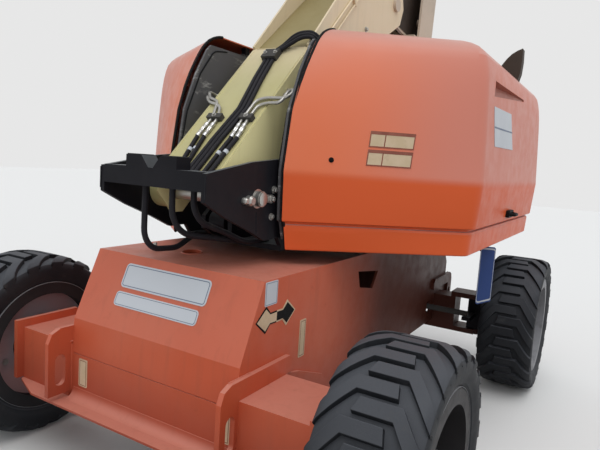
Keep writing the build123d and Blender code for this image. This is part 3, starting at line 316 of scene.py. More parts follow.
def make(name, data, mat, body, smooth=32, bevel=0.0):
    """A piece from one mesh or a list of them, smooth up to an angle, that rides on a body."""
    verts, faces = join_data(data) if isinstance(data, list) else data
    mesh = bpy.data.meshes.new(name)
    mesh.from_pydata([tuple(v) for v in verts], [], faces)
    bm = bmesh.new()
    bm.from_mesh(mesh)
    bmesh.ops.recalc_face_normals(bm, faces=bm.faces)
    bm.to_mesh(mesh)
    bm.free()
    shade_smooth(mesh, smooth)
    mesh.materials.append(mat)
    o = place(name, mesh)
    if bevel:
        b = o.modifiers.new("edges", "BEVEL")
        b.width = bevel
        b.segments = BEVEL_CUTS
        b.limit_method = "ANGLE"
        b.angle_limit = radians(BEVEL_ANGLE)
        b.harden_normals = True
    if body:
        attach(o, body)
    return o


def shade_smooth(mesh, angle):
    """Smooth shading up to an angle in degrees, sharp edges beyond it."""
    mesh.polygons.foreach_set("use_smooth", [True] * len(mesh.polygons))
    mesh.set_sharp_from_angle(angle=radians(angle))


def join_data(parts):
    verts, faces = [], []
    for v, f in parts:
        base = len(verts)
        verts += v
        faces += [tuple(i + base for i in q) for q in f]
    return verts, faces


def prism(points, a, b):
    """Outline points as 3-D vectors, pushed by the vector a to one side and b to the other."""
    n = len(points)
    verts = [p + a for p in points] + [p + b for p in points]
    faces = [tuple(range(n)), tuple(range(2 * n - 1, n - 1, -1))]
    faces += [(i, (i + 1) % n, n + (i + 1) % n, n + i) for i in range(n)]
    return verts, faces


def ring_prism(outer, inner, a, b):
    """A flat frame between two outlines with as many points each."""
    n = len(outer)
    verts = [p + a for p in outer + inner] + [p + b for p in outer + inner]
    faces = []
    for i in range(n):
        j = (i + 1) % n
        faces += [(i, j, n + j, n + i), (2 * n + i, 3 * n + i, 3 * n + j, 2 * n + j),
                  (i, 2 * n + i, 2 * n + j, j), (n + i, n + j, 3 * n + j, 3 * n + i)]
    return verts, faces


def side_prism(points, y0, y1):
    """An outline in the middle plane as a slab from y0 to y1."""
    return prism(points, Y * y0, Y * y1)


def xz_prism(points, y0, y1):
    return side_prism([M(x, 0, z) for x, z in points], y0, y1)


def block_data(x0, x1, y0, y1, z0, z1):
    return xz_prism([(x0, z0), (x1, z0), (x1, z1), (x0, z1)], y0, y1)


def grid_faces(start, rows, columns, closed=False):
    """Quads between rows of points; closed joins the last column to the first."""
    faces = []
    for b in range(start, start + (rows - 1) * columns, columns):
        for i in range(columns if closed else columns - 1):
            j = (i + 1) % columns
            faces.append((b + i, b + j, b + columns + j, b + columns + i))
    return faces


def turned(profile, centre, axis, ref, steps):
    """Profile rows (radius, height) turned about the axis at the centre."""
    axis = axis.normalized()
    u = (ref - axis * ref.dot(axis)).normalized()
    v = axis.cross(u)
    n = len(profile)
    verts, faces = [], []
    for a in turns(steps):
        d = u * cos(a) + v * sin(a)
        verts += [centre + d * r + axis * h for r, h in profile]
    for k in range(steps):
        j = (k + 1) % steps
        for i in range(n - 1):
            faces.append((k * n + i, j * n + i, j * n + i + 1, k * n + i + 1))
    return verts, faces


def sleeve(inner, outer, half, centre, axis, ref, steps=24):
    """A short turned sleeve between two radii, as long as half to each side."""
    rows = ((inner, -half), (outer, -half), (outer, half), (inner, half), (inner, -half))
    return turned(rows, centre, axis, ref, steps)


def level_ref(axis):
    """An upright direction, or a level one where the axis itself is upright."""
    return Z if abs(axis.z) < 0.9 else X


def stud(centre, axis, radius, height, sides=24, chamfer=0.15):
    """A closed turned head with a chamfered rim; six sides give a nut."""
    axis = axis.normalized()
    rows = ((radius, 0.0), (radius, height * (1 - chamfer)), (radius * (1 - chamfer), height))
    verts, faces = turned(rows, centre, axis, level_ref(axis), sides)
    n = len(rows)
    faces.append(tuple(k * n for k in range(sides)))
    faces.append(tuple(k * n + n - 1 for k in range(sides)))
    return verts, faces


def bolt(centre, axis, radius, height):
    """A washer with a six-sided head on it."""
    washer = stud(centre, axis, radius * 1.5, height * 0.25, 20)
    head = stud(centre + axis.normalized() * height * 0.22, axis, radius, height * 0.78, 6)
    return join_data([washer, head])


def corner_arc(a, p, b, radius, steps):
    """The arc that rounds the corner p between a and b, smaller where the sides are short."""
    da, db = (a - p).normalized(), (b - p).normalized()
    half = da.angle(db) / 2
    r = min(radius, 0.45 * min((a - p).length, (b - p).length) * tan(half))
    c = p + (da + db).normalized() * (r / sin(half))
    cut = r / tan(half)
    s, e = p + da * cut - c, p + db * cut - c
    turn = s.angle(e)
    arc = []
    for k in range(steps + 1):
        t = k / steps
        arc.append(c + (s * sin((1 - t) * turn) + e * sin(t * turn)) / sin(turn))
    return arc


def rounded(points, radius, steps=ARC_STEPS, closed=True):
    """The line with its corners rounded; an open one keeps its two ends."""
    n = len(points)
    line = []
    for i in range(n) if closed else range(1, n - 1):
        line += corner_arc(points[i - 1], points[i], points[(i + 1) % n], radius, steps)
    return line if closed else [points[0], *line, points[-1]]


def tube_data(points, radius, bend=0.0, sides=10, steps=ARC_STEPS):
    """A round tube with closed ends along the points, its corners bent to a radius."""
    path = rounded(points, bend, steps, False) if bend else points
    t0 = (path[1] - path[0]).normalized()
    ref = level_ref(t0)
    u = (ref - t0 * ref.dot(t0)).normalized()
    verts = []
    for i, p in enumerate(path):
        a = path[max(i - 1, 0)]
        b = path[min(i + 1, len(path) - 1)]
        t = (b - a).normalized()
        u = (u - t * u.dot(t)).normalized()
        v = t.cross(u)
        verts += [p + (u * cos(w) + v * sin(w)) * radius for w in turns(sides)]
    n = len(verts)
    ends = [tuple(range(sides)), tuple(range(n - sides, n))]
    return verts, grid_faces(0, len(path), sides, True) + ends


WELD_STEP, WELD_WAVE = 0.018, 0.0006


def weld(points, radius):
    """A bead with a slightly uneven run."""
    line = []
    for a, b in zip(points, points[1:]):
        steps = max(2, int((b - a).length / WELD_STEP))
        for k in range(steps):
            line.append(a.lerp(b, k / steps) + Z * (WELD_WAVE * sin(2.4 * len(line))))
    line.append(points[-1])
    return tube_data(line, radius, sides=6)


# Tyres: lugs that lie straight across the middle, slant from the knee and run down the sidewall
TYRE_RADIUS, LUG_FOOT = 0.47, 0.436
TYRE_STEPS, WHEEL_STEPS = 120, 96
LUG_COUNT, LUG_TURN = 40, radians(2.9)
LUG_HALF, LUG_DRAFT = 0.026, 0.004
ARM_SLOPE = 1.38
KNEE_Y, KNEE_LEAN = 0.08, 0.008
FREE_Y, FREE_LEAN = 0.057, 0.007
MIDDLE_Y = 0.012
# Stations of the slanted arm: y, top radius, foot radius
ARM_ROWS = ((0.106, 0.4695, 0.436), (0.126, 0.468, 0.434), (0.146, 0.464, 0.428),
            (0.164, 0.457, 0.42), (0.1762, 0.445, 0.408))
# Stations on the sidewall: y, top radius, how far in the foot lies
WALL_ROWS = ((0.1784, 0.43, 0.012), (0.1784, 0.414, 0.011), (0.1775, 0.399, 0.01))
WALL_TOP, WALL_SLOPE = 0.445, 0.35
WALL_TAPER, WALL_STEP = 0.01, 0.002
# Half section of the tyre without lugs: radius, y
CARCASS = (
    (0.29, 0.128), (0.327, 0.1462), (0.3352, 0.1525), (0.338, 0.1575), (0.344, 0.1605), (0.3485, 0.1655),
    (0.354, 0.166), (0.368, 0.172), (0.386, 0.1765), (0.404, 0.1778), (0.42, 0.1765), (0.433, 0.17),
    (0.441, 0.157), (0.4455, 0.135), (0.447, 0.105), (0.4475, 0.05), (0.4475, 0.0))


def lug_rows():
    """Rows of one lug: leading y and s, trailing y and s, top radius, foot radius, foot y inset."""
    lead, trail = KNEE_Y + KNEE_LEAN, KNEE_Y - KNEE_LEAN
    straight = ((-FREE_Y + FREE_LEAN, -FREE_Y - FREE_LEAN), (MIDDLE_Y, 0.0), (lead, trail))
    rows = [(y0, LUG_HALF, y1, -LUG_HALF, TYRE_RADIUS, LUG_FOOT, 0.0) for y0, y1 in straight]
    for y, top, foot in ARM_ROWS:
        s0 = LUG_HALF - ARM_SLOPE * (y - lead)
        s1 = -LUG_HALF - ARM_SLOPE * (y - trail)
        rows.append((y, s0, y, s1, top, foot, 0.0))
    for y, top, inset in WALL_ROWS:
        back = (WALL_TOP - top) * WALL_SLOPE
        rows.append((y, s0 - back, y, s1 - back + WALL_TAPER, top, top - WALL_STEP, inset))
    return rows


def lug_data(centre, angle, side):
    verts, faces = [], []
    rows = lug_rows()
    for y0, s0, y1, s1, top, foot, inset in rows:
        for r, grow, dy in ((top, 0.0, 0.0), (foot, LUG_DRAFT, -inset)):
            for y, s in ((y0, s0 + grow), (y1, s1 - grow)):
                a = angle + s / TYRE_RADIUS
                verts.append(centre + Vector((r * cos(a), side * (y + dy), r * sin(a))))
    for k in range(len(rows) - 1):
        b0, b1 = 4 * k, 4 * k + 4
        faces += [(b0, b0 + 1, b1 + 1, b1), (b0 + 2, b1 + 2, b1 + 3, b0 + 3),
                  (b0, b1, b1 + 2, b0 + 2), (b0 + 1, b0 + 3, b1 + 3, b1 + 1)]
    last = 4 * (len(rows) - 1)
    faces += [(0, 2, 3, 1), (last, last + 1, last + 3, last + 2)]
    return verts, faces


def tyre(node, body, side):
    """The carcass with its lugs in place of a tyre node; gives the wheel's centre."""
    lo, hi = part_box(node)
    centre = (Vector(lo) + Vector(hi)) / 2
    profile = list(CARCASS) + [(r, -y) for r, y in reversed(CARCASS[:-1])]
    parts = [turned(profile, centre, Y, X, TYRE_STEPS)]
    for i, angle in enumerate(turns(LUG_COUNT)):
        parts.append(lug_data(centre, angle + LUG_TURN, side if i % 2 else -side))
    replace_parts(make(f"{node}_lugged", parts, RUBBER, body, smooth=30, bevel=0.0032), node)
    return centre


# Wheel trim: flange rings, an inner dish, nuts and a valve stem; rows of radius, y
DISC_Y = 0.0575
NUT_COUNT, NUT_CIRCLE = 10, 0.128
NUT_RADIUS, NUT_HEIGHT = 0.013, 0.02
VALVE_X, VALVE_RADIUS, VALVE_BEND = 0.245, 0.005, 0.012
FLANGE_RINGS = {
    "steer": ((0.3278, 0.1618), (0.332, 0.1605), (0.3352, 0.156), (0.3345, 0.152), (0.332, 0.151)),
    "drive": ((0.3325, 0.1622), (0.334, 0.162), (0.3354, 0.1575), (0.3348, 0.154), (0.333, 0.153)),
}
DISH_ROWS = ((0.3185, -0.142), (0.312, -0.13), (0.298, -0.114), (0.26, -0.102),
             (0.1545, -0.096), (0.1545, -0.092), (0.26, -0.098), (0.3, -0.11),
             (0.316, -0.128), (0.3215, -0.141), (0.3185, -0.142))


def wheel_trim(body, centre, side, kind):
    rings = []
    for end in BOTH:
        rows = [(r, end * y) for r, y in FLANGE_RINGS[kind]]
        rings.append(turned(rows + rows[:1], centre, Y, X, WHEEL_STEPS))
    make(f"{body}_flange_rings", rings, RIM, body, smooth=40)
    if kind == "drive":
        dish = turned([(r, side * y) for r, y in DISH_ROWS], centre, Y, X, WHEEL_STEPS)
        make(f"{body}_inner_dish", dish, DISH_PAINTED_LIGHT, body, smooth=40)
    face = centre + Y * (side * DISC_Y)
    nuts = [bolt(face + (X * cos(a) + Z * sin(a)) * NUT_CIRCLE, Y * side, NUT_RADIUS, NUT_HEIGHT)
            for a in turns(NUT_COUNT)]
    make(f"{body}_nuts", nuts, STEEL, body, smooth=30)
    foot = face + X * VALVE_X
    stem = [foot, foot + Vector((0, side * 0.02, 0)), foot + Vector((0.022, side * 0.045, 0))]
    make(f"{body}_valve", tube_data(stem, VALVE_RADIUS, VALVE_BEND), HOSE, body)


for end in ("drive", "steer"):
    for side, word in SIDES:
        wheel = f"{end}_wheel_{word}"
        wheel_trim(wheel, tyre(f"{end}_tyre_{word}", wheel, side), side, end)


# Hoods: rows of level z, inset from the widest outline, x of the inner front corner
HOOD_ROWS = (
    (1.122, 0.046, 0.9), (1.127, 0.041, 0.903), (1.205, 0.036, 0.921), (1.228, 0.0345, 0.926),
    (1.238, 0.038, 0.925), (1.243, 0.05, 0.918), (1.25, 0.05, 0.919), (1.2535, 0.028, 0.938),
    (1.258, 0.019, 0.945), (1.266, 0.0165, 0.9456), (1.452, 0.0022, 0.9535), (1.468, 0.0007, 0.9548),
    (1.478, 0.0002, 0.9552), (1.488, 0.0007, 0.9546), (1.504, 0.0021, 0.953), (1.62, 0.0078, 0.935),
    (1.75, 0.0145, 0.914), (1.86, 0.021, 0.875), (1.935, 0.026, 0.84), (2.0, 0.034, 0.803),
    (2.045, 0.043, 0.775), (2.08, 0.054, 0.75), (2.108, 0.074, 0.724), (2.13, 0.1, 0.697),
    (2.146, 0.132, 0.668), (2.157, 0.166, 0.64), (2.164, 0.2, 0.616), (2.168, 0.236, 0.59))
HOOD_INNER_Y = 0.34
# Corners of the widest outline: x, y, and how much of the inset each moves by in x and y
HOOD_CORNERS = ((0.345, 1.062, -0.46, -1.0), (-1.37, 1.085, 0.52, -1.0), (-1.53, 0.86, 1.0, -0.32),
                (-1.53, HOOD_INNER_Y, 1.0, 0.0))
FRONT_RUN = 1.3
FRONT_STEPS = (0.0, 0.35, 0.7)
HOOD_ROUND, HOOD_CLOSING, HOOD_STEPS = 0.095, 0.33, 8
HOOD_WALL = 0.006
HOOD_CEILING = HOOD_ROWS[-1][0] - HOOD_WALL
HOOD_CREASE, SKIN_STEP = 17, 0.004
SHEET_COLUMNS, SHEET_ROWS = 10, 4


def hood_outline(d, front_x, wall=0.0):
    """Points of one level, from the inner front corner round the outside to the inner rear corner."""
    d += wall
    corners = [Vector((front_x - FRONT_RUN * wall, HOOD_INNER_Y))]
    corners += [Vector((x + dx * d, y + dy * d)) for x, y, dx, dy in HOOD_CORNERS]
    radius = HOOD_ROUND * (1 - (d - wall) / HOOD_CLOSING)
    front = [corners[0].lerp(corners[1], t) for t in FRONT_STEPS]
    return front + rounded(corners, radius, HOOD_STEPS, False)[1:]


def hood_data(side):
    """Outer and inner skin with their crowns, joined along the foot and round the open inner side."""
    verts, faces = [], []
    rows = len(HOOD_ROWS)
    for wall in (0.0, HOOD_WALL):
        for z, d, fx in HOOD_ROWS:
            if wall:
                z = min(z, HOOD_CEILING)
            verts += [M(q.x, side * q.y, z) for q in hood_outline(d, fx, wall)]
    n = len(verts) // rows // 2
    for g in (0, rows * n):
        top = g + (rows - 1) * n
        faces += grid_faces(g, rows, n) + [tuple(range(top, top + n))]
    g = rows * n
    faces += [(i, g + i, g + i + 1, i + 1) for i in range(n - 1)]
    for k in range(rows - 1):
        for i in (0, n - 1):
            b = k * n + i
            faces.append((b, b + n, g + b + n, g + b))
    b = (rows - 1) * n
    faces.append((b, b + n - 1, g + b + n - 1, g + b))
    return verts, faces


def hood_point(side, s, z):
    """The outer skin at s metres along the level z, counted from the inner front corner."""
    for low, high in zip(HOOD_ROWS, HOOD_ROWS[1:]):
        if low[0] <= z <= high[0]:
            break
    t = (z - low[0]) / (high[0] - low[0])
    line = hood_outline(low[1] + t * (high[1] - low[1]), low[2] + t * (high[2] - low[2]))
    for a, b in zip(line, line[1:]):
        step = (b - a).length
        if s <= step:
            q = a.lerp(b, s / step)
            return M(q.x, side * q.y, z)
        s -= step
    return M(line[-1].x, side * line[-1].y, z)


def hood_normal(side, s, z):
    along = hood_point(side, s + SKIN_STEP, z) - hood_point(side, s - SKIN_STEP, z)
    up = hood_point(side, s, z + SKIN_STEP) - hood_point(side, s, z - SKIN_STEP)
    return (along.cross(up) * side).normalized()


def above_hood(side, s, z, lift):
    return hood_point(side, s, z) + hood_normal(side, s, z) * lift


def hood_sheet(corners, low, high):
    """A thin slab on the left hood's skin between four (s, z) corners, from low to high above it."""
    nu, nv = SHEET_COLUMNS, SHEET_ROWS
    a, b, c, d = [Vector(p) for p in corners]
    verts = []
    for lift in (low, high):
        for j in range(nv + 1):
            for i in range(nu + 1):
                u, v = i / nu, j / nv
                q = a.lerp(b, u).lerp(d.lerp(c, u), v)
                verts.append(above_hood(1, q.x, q.y, lift))
    layer = (nu + 1) * (nv + 1)
    faces = grid_faces(0, nv + 1, nu + 1) + grid_faces(layer, nv + 1, nu + 1)
    edge = list(range(nu))
    edge += [j * (nu + 1) + nu for j in range(nv)]
    edge += [nv * (nu + 1) + i for i in range(nu, 0, -1)]
    edge += [j * (nu + 1) for j in range(nv, 0, -1)]
    for i, k in enumerate(edge):
        j = edge[(i + 1) % len(edge)]
        faces.append((k, j, layer + j, layer + k))
    return verts, faces


def hood_rect(s0, s1, z0, z1, low, high):
    return hood_sheet(((s0, z0), (s1, z0), (s1, z1), (s0, z1)), low, high)


# Scoop in the hood's side: a long pocket that is deep at its front and runs out to the rear
FRONT_S, TIP_S = 1.02, 1.83
LOW_Z, HIGH_Z, TIP_Z = 1.905, 1.985, 1.995
TIP_HEIGHT = 0.012
SCOOP_DEPTH, TIP_DEPTH = 0.055, 0.007
SCOOP_LIP, SCOOP_WALL, REACH = 0.001, 0.003, 0.03


def scoop_rim(side, front, tip):
    rows = ((FRONT_S, LOW_Z, front), (TIP_S, TIP_Z - TIP_HEIGHT, tip), (TIP_S, TIP_Z, tip),
            (FRONT_S, HIGH_Z, front))
    return [above_hood(side, s, z, lift) for s, z, lift in rows]


def cut_scoop(shell, side):
    """Cuts the pocket's opening through the hood shell, with the cut applied to its mesh."""
    verts = scoop_rim(side, REACH, REACH) + scoop_rim(side, -REACH, -REACH)
    faces = [(0, 1, 2, 3), (7, 6, 5, 4)] + [(i, 4 + i, 4 + (i + 1) % 4, (i + 1) % 4) for i in range(4)]
    cutter = make("scoop_cutter", (verts, faces), SCOOP_PAINTED_SHADE, None)
    cut = shell.modifiers.new("scoop", "BOOLEAN")
    cut.operation, cut.solver, cut.object = "DIFFERENCE", "EXACT", cutter
    graph = bpy.context.evaluated_depsgraph_get()
    mesh = bpy.data.meshes.new_from_object(shell.evaluated_get(graph))
    shell.modifiers.remove(cut)
    shell.data = mesh
    shade_smooth(mesh, HOOD_CREASE)
    bpy.data.objects.remove(cutter)


def scoop_pocket(side, word, body):
    """The pocket's walls behind the opening, and its floor with a thickness."""
    skin = scoop_rim(side, -SCOOP_LIP, -SCOOP_LIP)
    deep = scoop_rim(side, -SCOOP_DEPTH, -TIP_DEPTH)
    out = hood_normal(side, (FRONT_S + TIP_S) / 2, HIGH_Z)
    back = [p - out * SCOOP_WALL for p in deep]
    faces = [(4, 5, 6, 7), (11, 10, 9, 8)]
    for i in range(4):
        j = (i + 1) % 4
        faces += [(i, j, 4 + j, 4 + i), (4 + i, 4 + j, 8 + j, 8 + i)]
    # The pocket is in a darker orange as painted shade
    make(f"hood_scoop_{word}", (skin + deep + back, faces), SCOOP_PAINTED_SHADE, body, smooth=20)


# Seal along the open front edge, hinge eyes and inner ribs
GROOVE_Z, GROOVE_HALF = 1.2465, 0.012
SEAL_BACK, SEAL_RADIUS = 0.008, 0.0075
LEAN_Z, LEAN_RISE, SEAL_LEAN, SEAL_INWARD = 1.75, 0.3, 0.007, 0.003
HINGE_X = (0.33, -1.0)
HINGE_Y, HINGE_Z = 0.372, 2.11
EYE_BORE, EYE_RADIUS, EYE_HALF = 0.0105, 0.02, 0.02
EYE_LEG_HALF, EYE_LEG_FOOT = 0.016, 0.013
RIB_S, RIB_LEVELS = (0.3, 0.62, 1.25, 1.75, 2.25), (1.3, 1.48, 1.75, 1.9)
RIB_RADIUS, RIB_DEPTH = 0.009, HOOD_WALL + 0.004


def hood_dressing(side, word):
    body = f"hood_{word}"
    seal = []
    for z, d, fx in HOOD_ROWS:
        if abs(z - GROOVE_Z) > GROOVE_HALF:
            lean = min(max((z - LEAN_Z) / LEAN_RISE, 0.0), 1.0) * SEAL_LEAN - SEAL_INWARD
            seal.append(M(fx - SEAL_BACK, side * (HOOD_INNER_Y + lean), z))
    make(f"hood_seal_{word}", tube_data(seal, SEAL_RADIUS, 0.03, steps=3), SEAL, body)
    eyes = []
    for x in HINGE_X:
        y = side * HINGE_Y
        eyes.append(block_data(x - EYE_HALF, x + EYE_HALF, y - EYE_LEG_HALF, y + EYE_LEG_HALF,
                               HINGE_Z + EYE_LEG_FOOT, HOOD_CEILING))
        eyes.append(sleeve(EYE_BORE, EYE_RADIUS, EYE_HALF, M(x, y, HINGE_Z), X, Y))
    make(f"hood_hinge_eyes_{word}", eyes, BLACK, body)
    ribs = [tube_data([above_hood(side, s, z, -RIB_DEPTH) for z in RIB_LEVELS], RIB_RADIUS, sides=8)
            for s in RIB_S]
    make(f"hood_inner_ribs_{word}", ribs, HOOD, body)


for side, word in SIDES:
    body = f"hood_{word}"
    shell = make(f"hood_shell_{word}", hood_data(side), HOOD, body, smooth=HOOD_CREASE)
    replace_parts(shell, f"hood_{word}")
    cut_scoop(shell, side)
    scoop_pocket(side, word, body)
    hood_dressing(side, word)

# Left hood: two warning plates with a head band, a rule at the foot and columns
WARN_S, WARN_LEVELS, WARN_HEIGHT = (0.368, 0.582), (1.612, 1.528), 0.073
WARN_BAND, WARN_RULE, WARN_COLUMNS = 0.058, 0.005, (0.368, 0.438, 0.577)
plates, frames = [], []
for z in WARN_LEVELS:
    top = z + WARN_HEIGHT
    plates.append(hood_rect(*WARN_S, z, top, -0.001, 0.0022))
    for low, high in ((z + WARN_BAND, top), (z, z + WARN_RULE)):
        frames.append(hood_rect(*WARN_S, low, high, 0.002, 0.0029))
    frames += [hood_rect(s, s + WARN_RULE, z, top, 0.002, 0.0028) for s in WARN_COLUMNS]
make("warning_plates", plates, LABEL, "hood_left")
make("warning_plate_frames", frames, HEADER, "hood_left")

# A slanted side plate with a line across it, as (s, z) corners
SIDE_PLATE = ((1.13, 1.665), (1.6, 1.672), (1.47, 1.865), (1.04, 1.858))
SIDE_LINE = ((1.09, 1.755), (1.545, 1.762), (1.541, 1.77), (1.086, 1.763))
make("hood_side_plate", hood_sheet(SIDE_PLATE, -0.001, 0.0025), PLATE, "hood_left")
make("hood_side_plate_line", hood_sheet(SIDE_LINE, 0.002, 0.0032), PLATE_LINE, "hood_left")

# A round lock near the front, and a latch: a flat grip with a bent bar over it
LOCK_S, LOCK_Z = 0.206, 1.542
LATCH_S, LATCH_Z = 1.72, 1.3
GRIP_LONG, GRIP_HIGH, GRIP_ROUND = 0.07, 0.022, 0.015
BAR_LINE = ((-0.055, 0.014), (-0.045, 0.045), (0.045, 0.045), (0.055, 0.014))
lock = hood_point(1, LOCK_S, LOCK_Z)
out = hood_normal(1, LOCK_S, LOCK_Z)
keyway = [stud(lock - out * 0.002, out, 0.012, 0.005), stud(lock + out * 0.002, out, 0.006, 0.007, 6)]
make("hood_lock", keyway, INK, "hood_left")
latch = hood_point(1, LATCH_S, LATCH_Z)
out = hood_normal(1, LATCH_S, LATCH_Z)
v = out.cross(AFT)
grip = [latch + AFT * (a * GRIP_LONG) + v * (b * GRIP_HIGH) for a, b in CORNERS]
bar = [latch + out * lift + AFT * run for run, lift in BAR_LINE]
parts = [prism(rounded(grip, GRIP_ROUND), out * -0.002, out * 0.02), tube_data(bar, 0.01, 0.02)]
make("hood_latch", parts, INK, "hood_left", bevel=0.003)

# Exhaust deflector, a plate across the crown with its outer edge folded aft, dark brown as painted shade: y,
# z of its outline
FIN_X, FIN_WALL, FIN_DEPTH = -0.6, 0.006, 0.07
FIN_LINE = ((0.875, 2.15), (0.901, 2.198), (0.928, 2.236), (0.955, 2.264), (0.985, 2.283),
            (1.015, 2.295), (1.018, 2.22), (1.014, 2.148), (0.998, 2.086), (0.94, 2.122))
FIN_FOLD = FIN_LINE[5:9]
front = [M(FIN_X, y, z) for y, z in FIN_LINE]
fold = [M(FIN_X - 0.001, y, z) for y, z in FIN_FOLD]
fold += [M(FIN_X - 0.001, y - FIN_WALL, z) for y, z in reversed(FIN_FOLD)]
parts = [prism(front, NOWHERE, AFT * FIN_WALL), prism(fold, NOWHERE, AFT * FIN_DEPTH)]
make("exhaust_deflector", parts, PAINTED_SHADE_BROWN, "hood_left", bevel=0.001)

# Inner panels: a scratched liner over each, with a lip along its first seven corners
LINER_LINE = ((0.872, 1.19), (0.925, 1.32), (0.93, 1.52), (0.888, 1.74), (0.8, 1.94), (0.7, 2.07),
              (0.6, 2.085), (-1.3, 2.085), (-1.42, 1.98), (-1.42, 1.19))
LINER_BACK_Y, LINER_FACE_Y, LINER_ROUND = 0.3045, 0.298, 0.07
LIP_CORNERS = 7
for side, word in SIDES:
    points = rounded([M(x, 0, z) for x, z in LINER_LINE], LINER_ROUND)
    face_y = side * LINER_FACE_Y
    liner = side_prism(points, side * LINER_BACK_Y, face_y)
    make(f"inner_liner_{word}", liner, LINER, "turntable", bevel=0.002)
    lip = [p + Y * face_y for p in points[:LIP_CORNERS * (ARC_STEPS + 1)]]
    make(f"inner_liner_{word}_lip", tube_data(lip, 0.004, sides=8), SEAL, "turntable")

# Chassis: blank plates and labels on the sloped cover, the flank and the nose
COVER_TOP, COVER_FOLD = (1.255, 1.052), (1.39, 0.741)
FLANK_Y, NOSE_X = 0.475, 1.4
PLATE_PROUD, LINE_PROUD = 0.0022, 0.0006
LABEL_LINE = (0.006, 0.0025)


def flat_plate(name, origin, u, v, size, finish, radius, line):
    """A thin plate with round corners on the plane of u and v, and a line inside its edge.
    finish: materials of the plate and the line. line: its inset and width."""
    u, v = u.normalized(), v.normalized()
    out = u.cross(v).normalized()
    inset, width = line

    def outline(margin):
        w, h = size[0] / 2 - margin, size[1] / 2 - margin
        corners = [origin + u * a * w + v * b * h for a, b in CORNERS]
        return rounded(corners, max(radius - margin, 0.002))

    make(name, prism(outline(0.0), out * -0.001, out * PLATE_PROUD), finish[0], "chassis")
    data = ring_prism(outline(inset), outline(inset + width), out * PLATE_PROUD,
                      out * (PLATE_PROUD + LINE_PROUD))
    make(f"{name}_line", data, finish[1], "chassis")


def cover_point(y, z):
    t = (z - COVER_FOLD[1]) / (COVER_TOP[1] - COVER_FOLD[1])
    return M(COVER_FOLD[0] + t * (COVER_TOP[0] - COVER_FOLD[0]), y, z)


cover_up = (M(COVER_TOP[0], 0, COVER_TOP[1]) - M(COVER_FOLD[0], 0, COVER_FOLD[1])).normalized()
for name, y0, y1, z0, z1, radius, line in (
        ("cover_plate_large", -0.262, 0.231, 0.914, 1.016, 0.02, (0.007, 0.0035)),
        ("cover_plate_strip", -0.268, 0.212, 0.836, 0.896, 0.018, (0.0055, 0.0025))):
    middle = cover_point((y0 + y1) / 2, (z0 + z1) / 2)
    height = (cover_point(0, z1) - cover_point(0, z0)).length
    flat_plate(name, middle, Y, cover_up, (y1 - y0, height), (PLATE, PLATE_LINE), radius, line)

flat_plate("flank_plate_white", M(1.204, FLANK_Y, 0.998), AFT, Z, (0.088, 0.098),
           (PLATE, PLATE_LINE), 0.006, (0.004, 0.002))
for name, at, run, size in (("flank_label", (0.93, FLANK_Y, 0.744), AFT, (0.052, 0.172)),
                            ("nose_label_right", (NOSE_X, -0.394, 0.498), Y, (0.056, 0.13)),
                            ("nose_label_left", (NOSE_X, 0.425, 0.498), Y, (0.056, 0.13))):
    flat_plate(name, M(*at), run, Z, size, (LABEL, HEADER), 0.006, LABEL_LINE)

# Two-headed arrow: x and z of one end's upper half, and how each moves for a border of one
ARROW_X, ARROW_Z, ARROW_BORDER = 1.156, 0.893, 0.006
ARROW_HALF = ((0.0, 0.025, 0.0, -1.0), (0.046, 0.024, 0.3, -1.0), (0.078, 0.056, 0.4, -1.9),
              (0.148, 0.0, -1.5, 0.0))
for name, direction, inner, border in (("fore", 1, LABEL, INK), ("aft", -1, INK, LABEL)):
    for layer, inset, mat, proud in (("border", 0.0, border, 0.0018),
                                     ("face", ARROW_BORDER, inner, 0.0026)):
        half = [(x + dx * inset, z + dz * inset) for x, z, dx, dz in ARROW_HALF]
        outline = half + [(x, -z) for x, z in reversed(half[:3])]
        points = [(ARROW_X + direction * x, ARROW_Z + z) for x, z in outline]
        arrow = xz_prism(points, FLANK_Y - 0.001, FLANK_Y + proud)
        make(f"travel_arrow_{name}_{layer}", arrow, mat, "chassis")

# Flange plate under the nose, x and y of its outline, with a root rounded by a quarter turn
NOSE_FLANGE = ((1.385, -0.84), (1.43, -0.815), (1.5, -0.63), (1.5, 0.63), (1.43, 0.815), (1.385, 0.84))
FLANGE_LOW, FLANGE_HIGH = 0.36, 0.372
ROOT_X, ROOT_Z, ROOT_RADIUS, ROOT_BACK_X, ROOT_HALF_Y = 1.448, 0.419, 0.047, 1.395, 0.462
ROOT_TURNS = (0.0, 0.26, 0.52, 0.79, 1.05, 1.31, 1.57)
flange = [M(x, y, 0) for x, y in NOSE_FLANGE]
root = [(ROOT_BACK_X, FLANGE_LOW)]
root += [(ROOT_X - ROOT_RADIUS * sin(a), ROOT_Z - ROOT_RADIUS * cos(a)) for a in ROOT_TURNS]
root.append((ROOT_BACK_X, ROOT_Z))
parts = [prism(flange, Z * FLANGE_LOW, Z * FLANGE_HIGH), xz_prism(root, -ROOT_HALF_Y, ROOT_HALF_Y)]
make("nose_flange", parts, ORANGE, "chassis", bevel=0.002)

# Welds and bolts of the axle boxes, fitting and hole rim on top, bolts of the bearing
TOP_Z, END_PLATE_Y = 1.052, 0.9455
HOLE_X, HOLE_Y, HOLE_LONG, HOLE_SHORT, HOLE_TURN = 0.985, -0.14, 0.067, 0.047, radians(25)
HOLE_STEPS = 48
BEARING_R, BEARING_BOLTS, SEEN_Y = 0.485, 24, 0.45
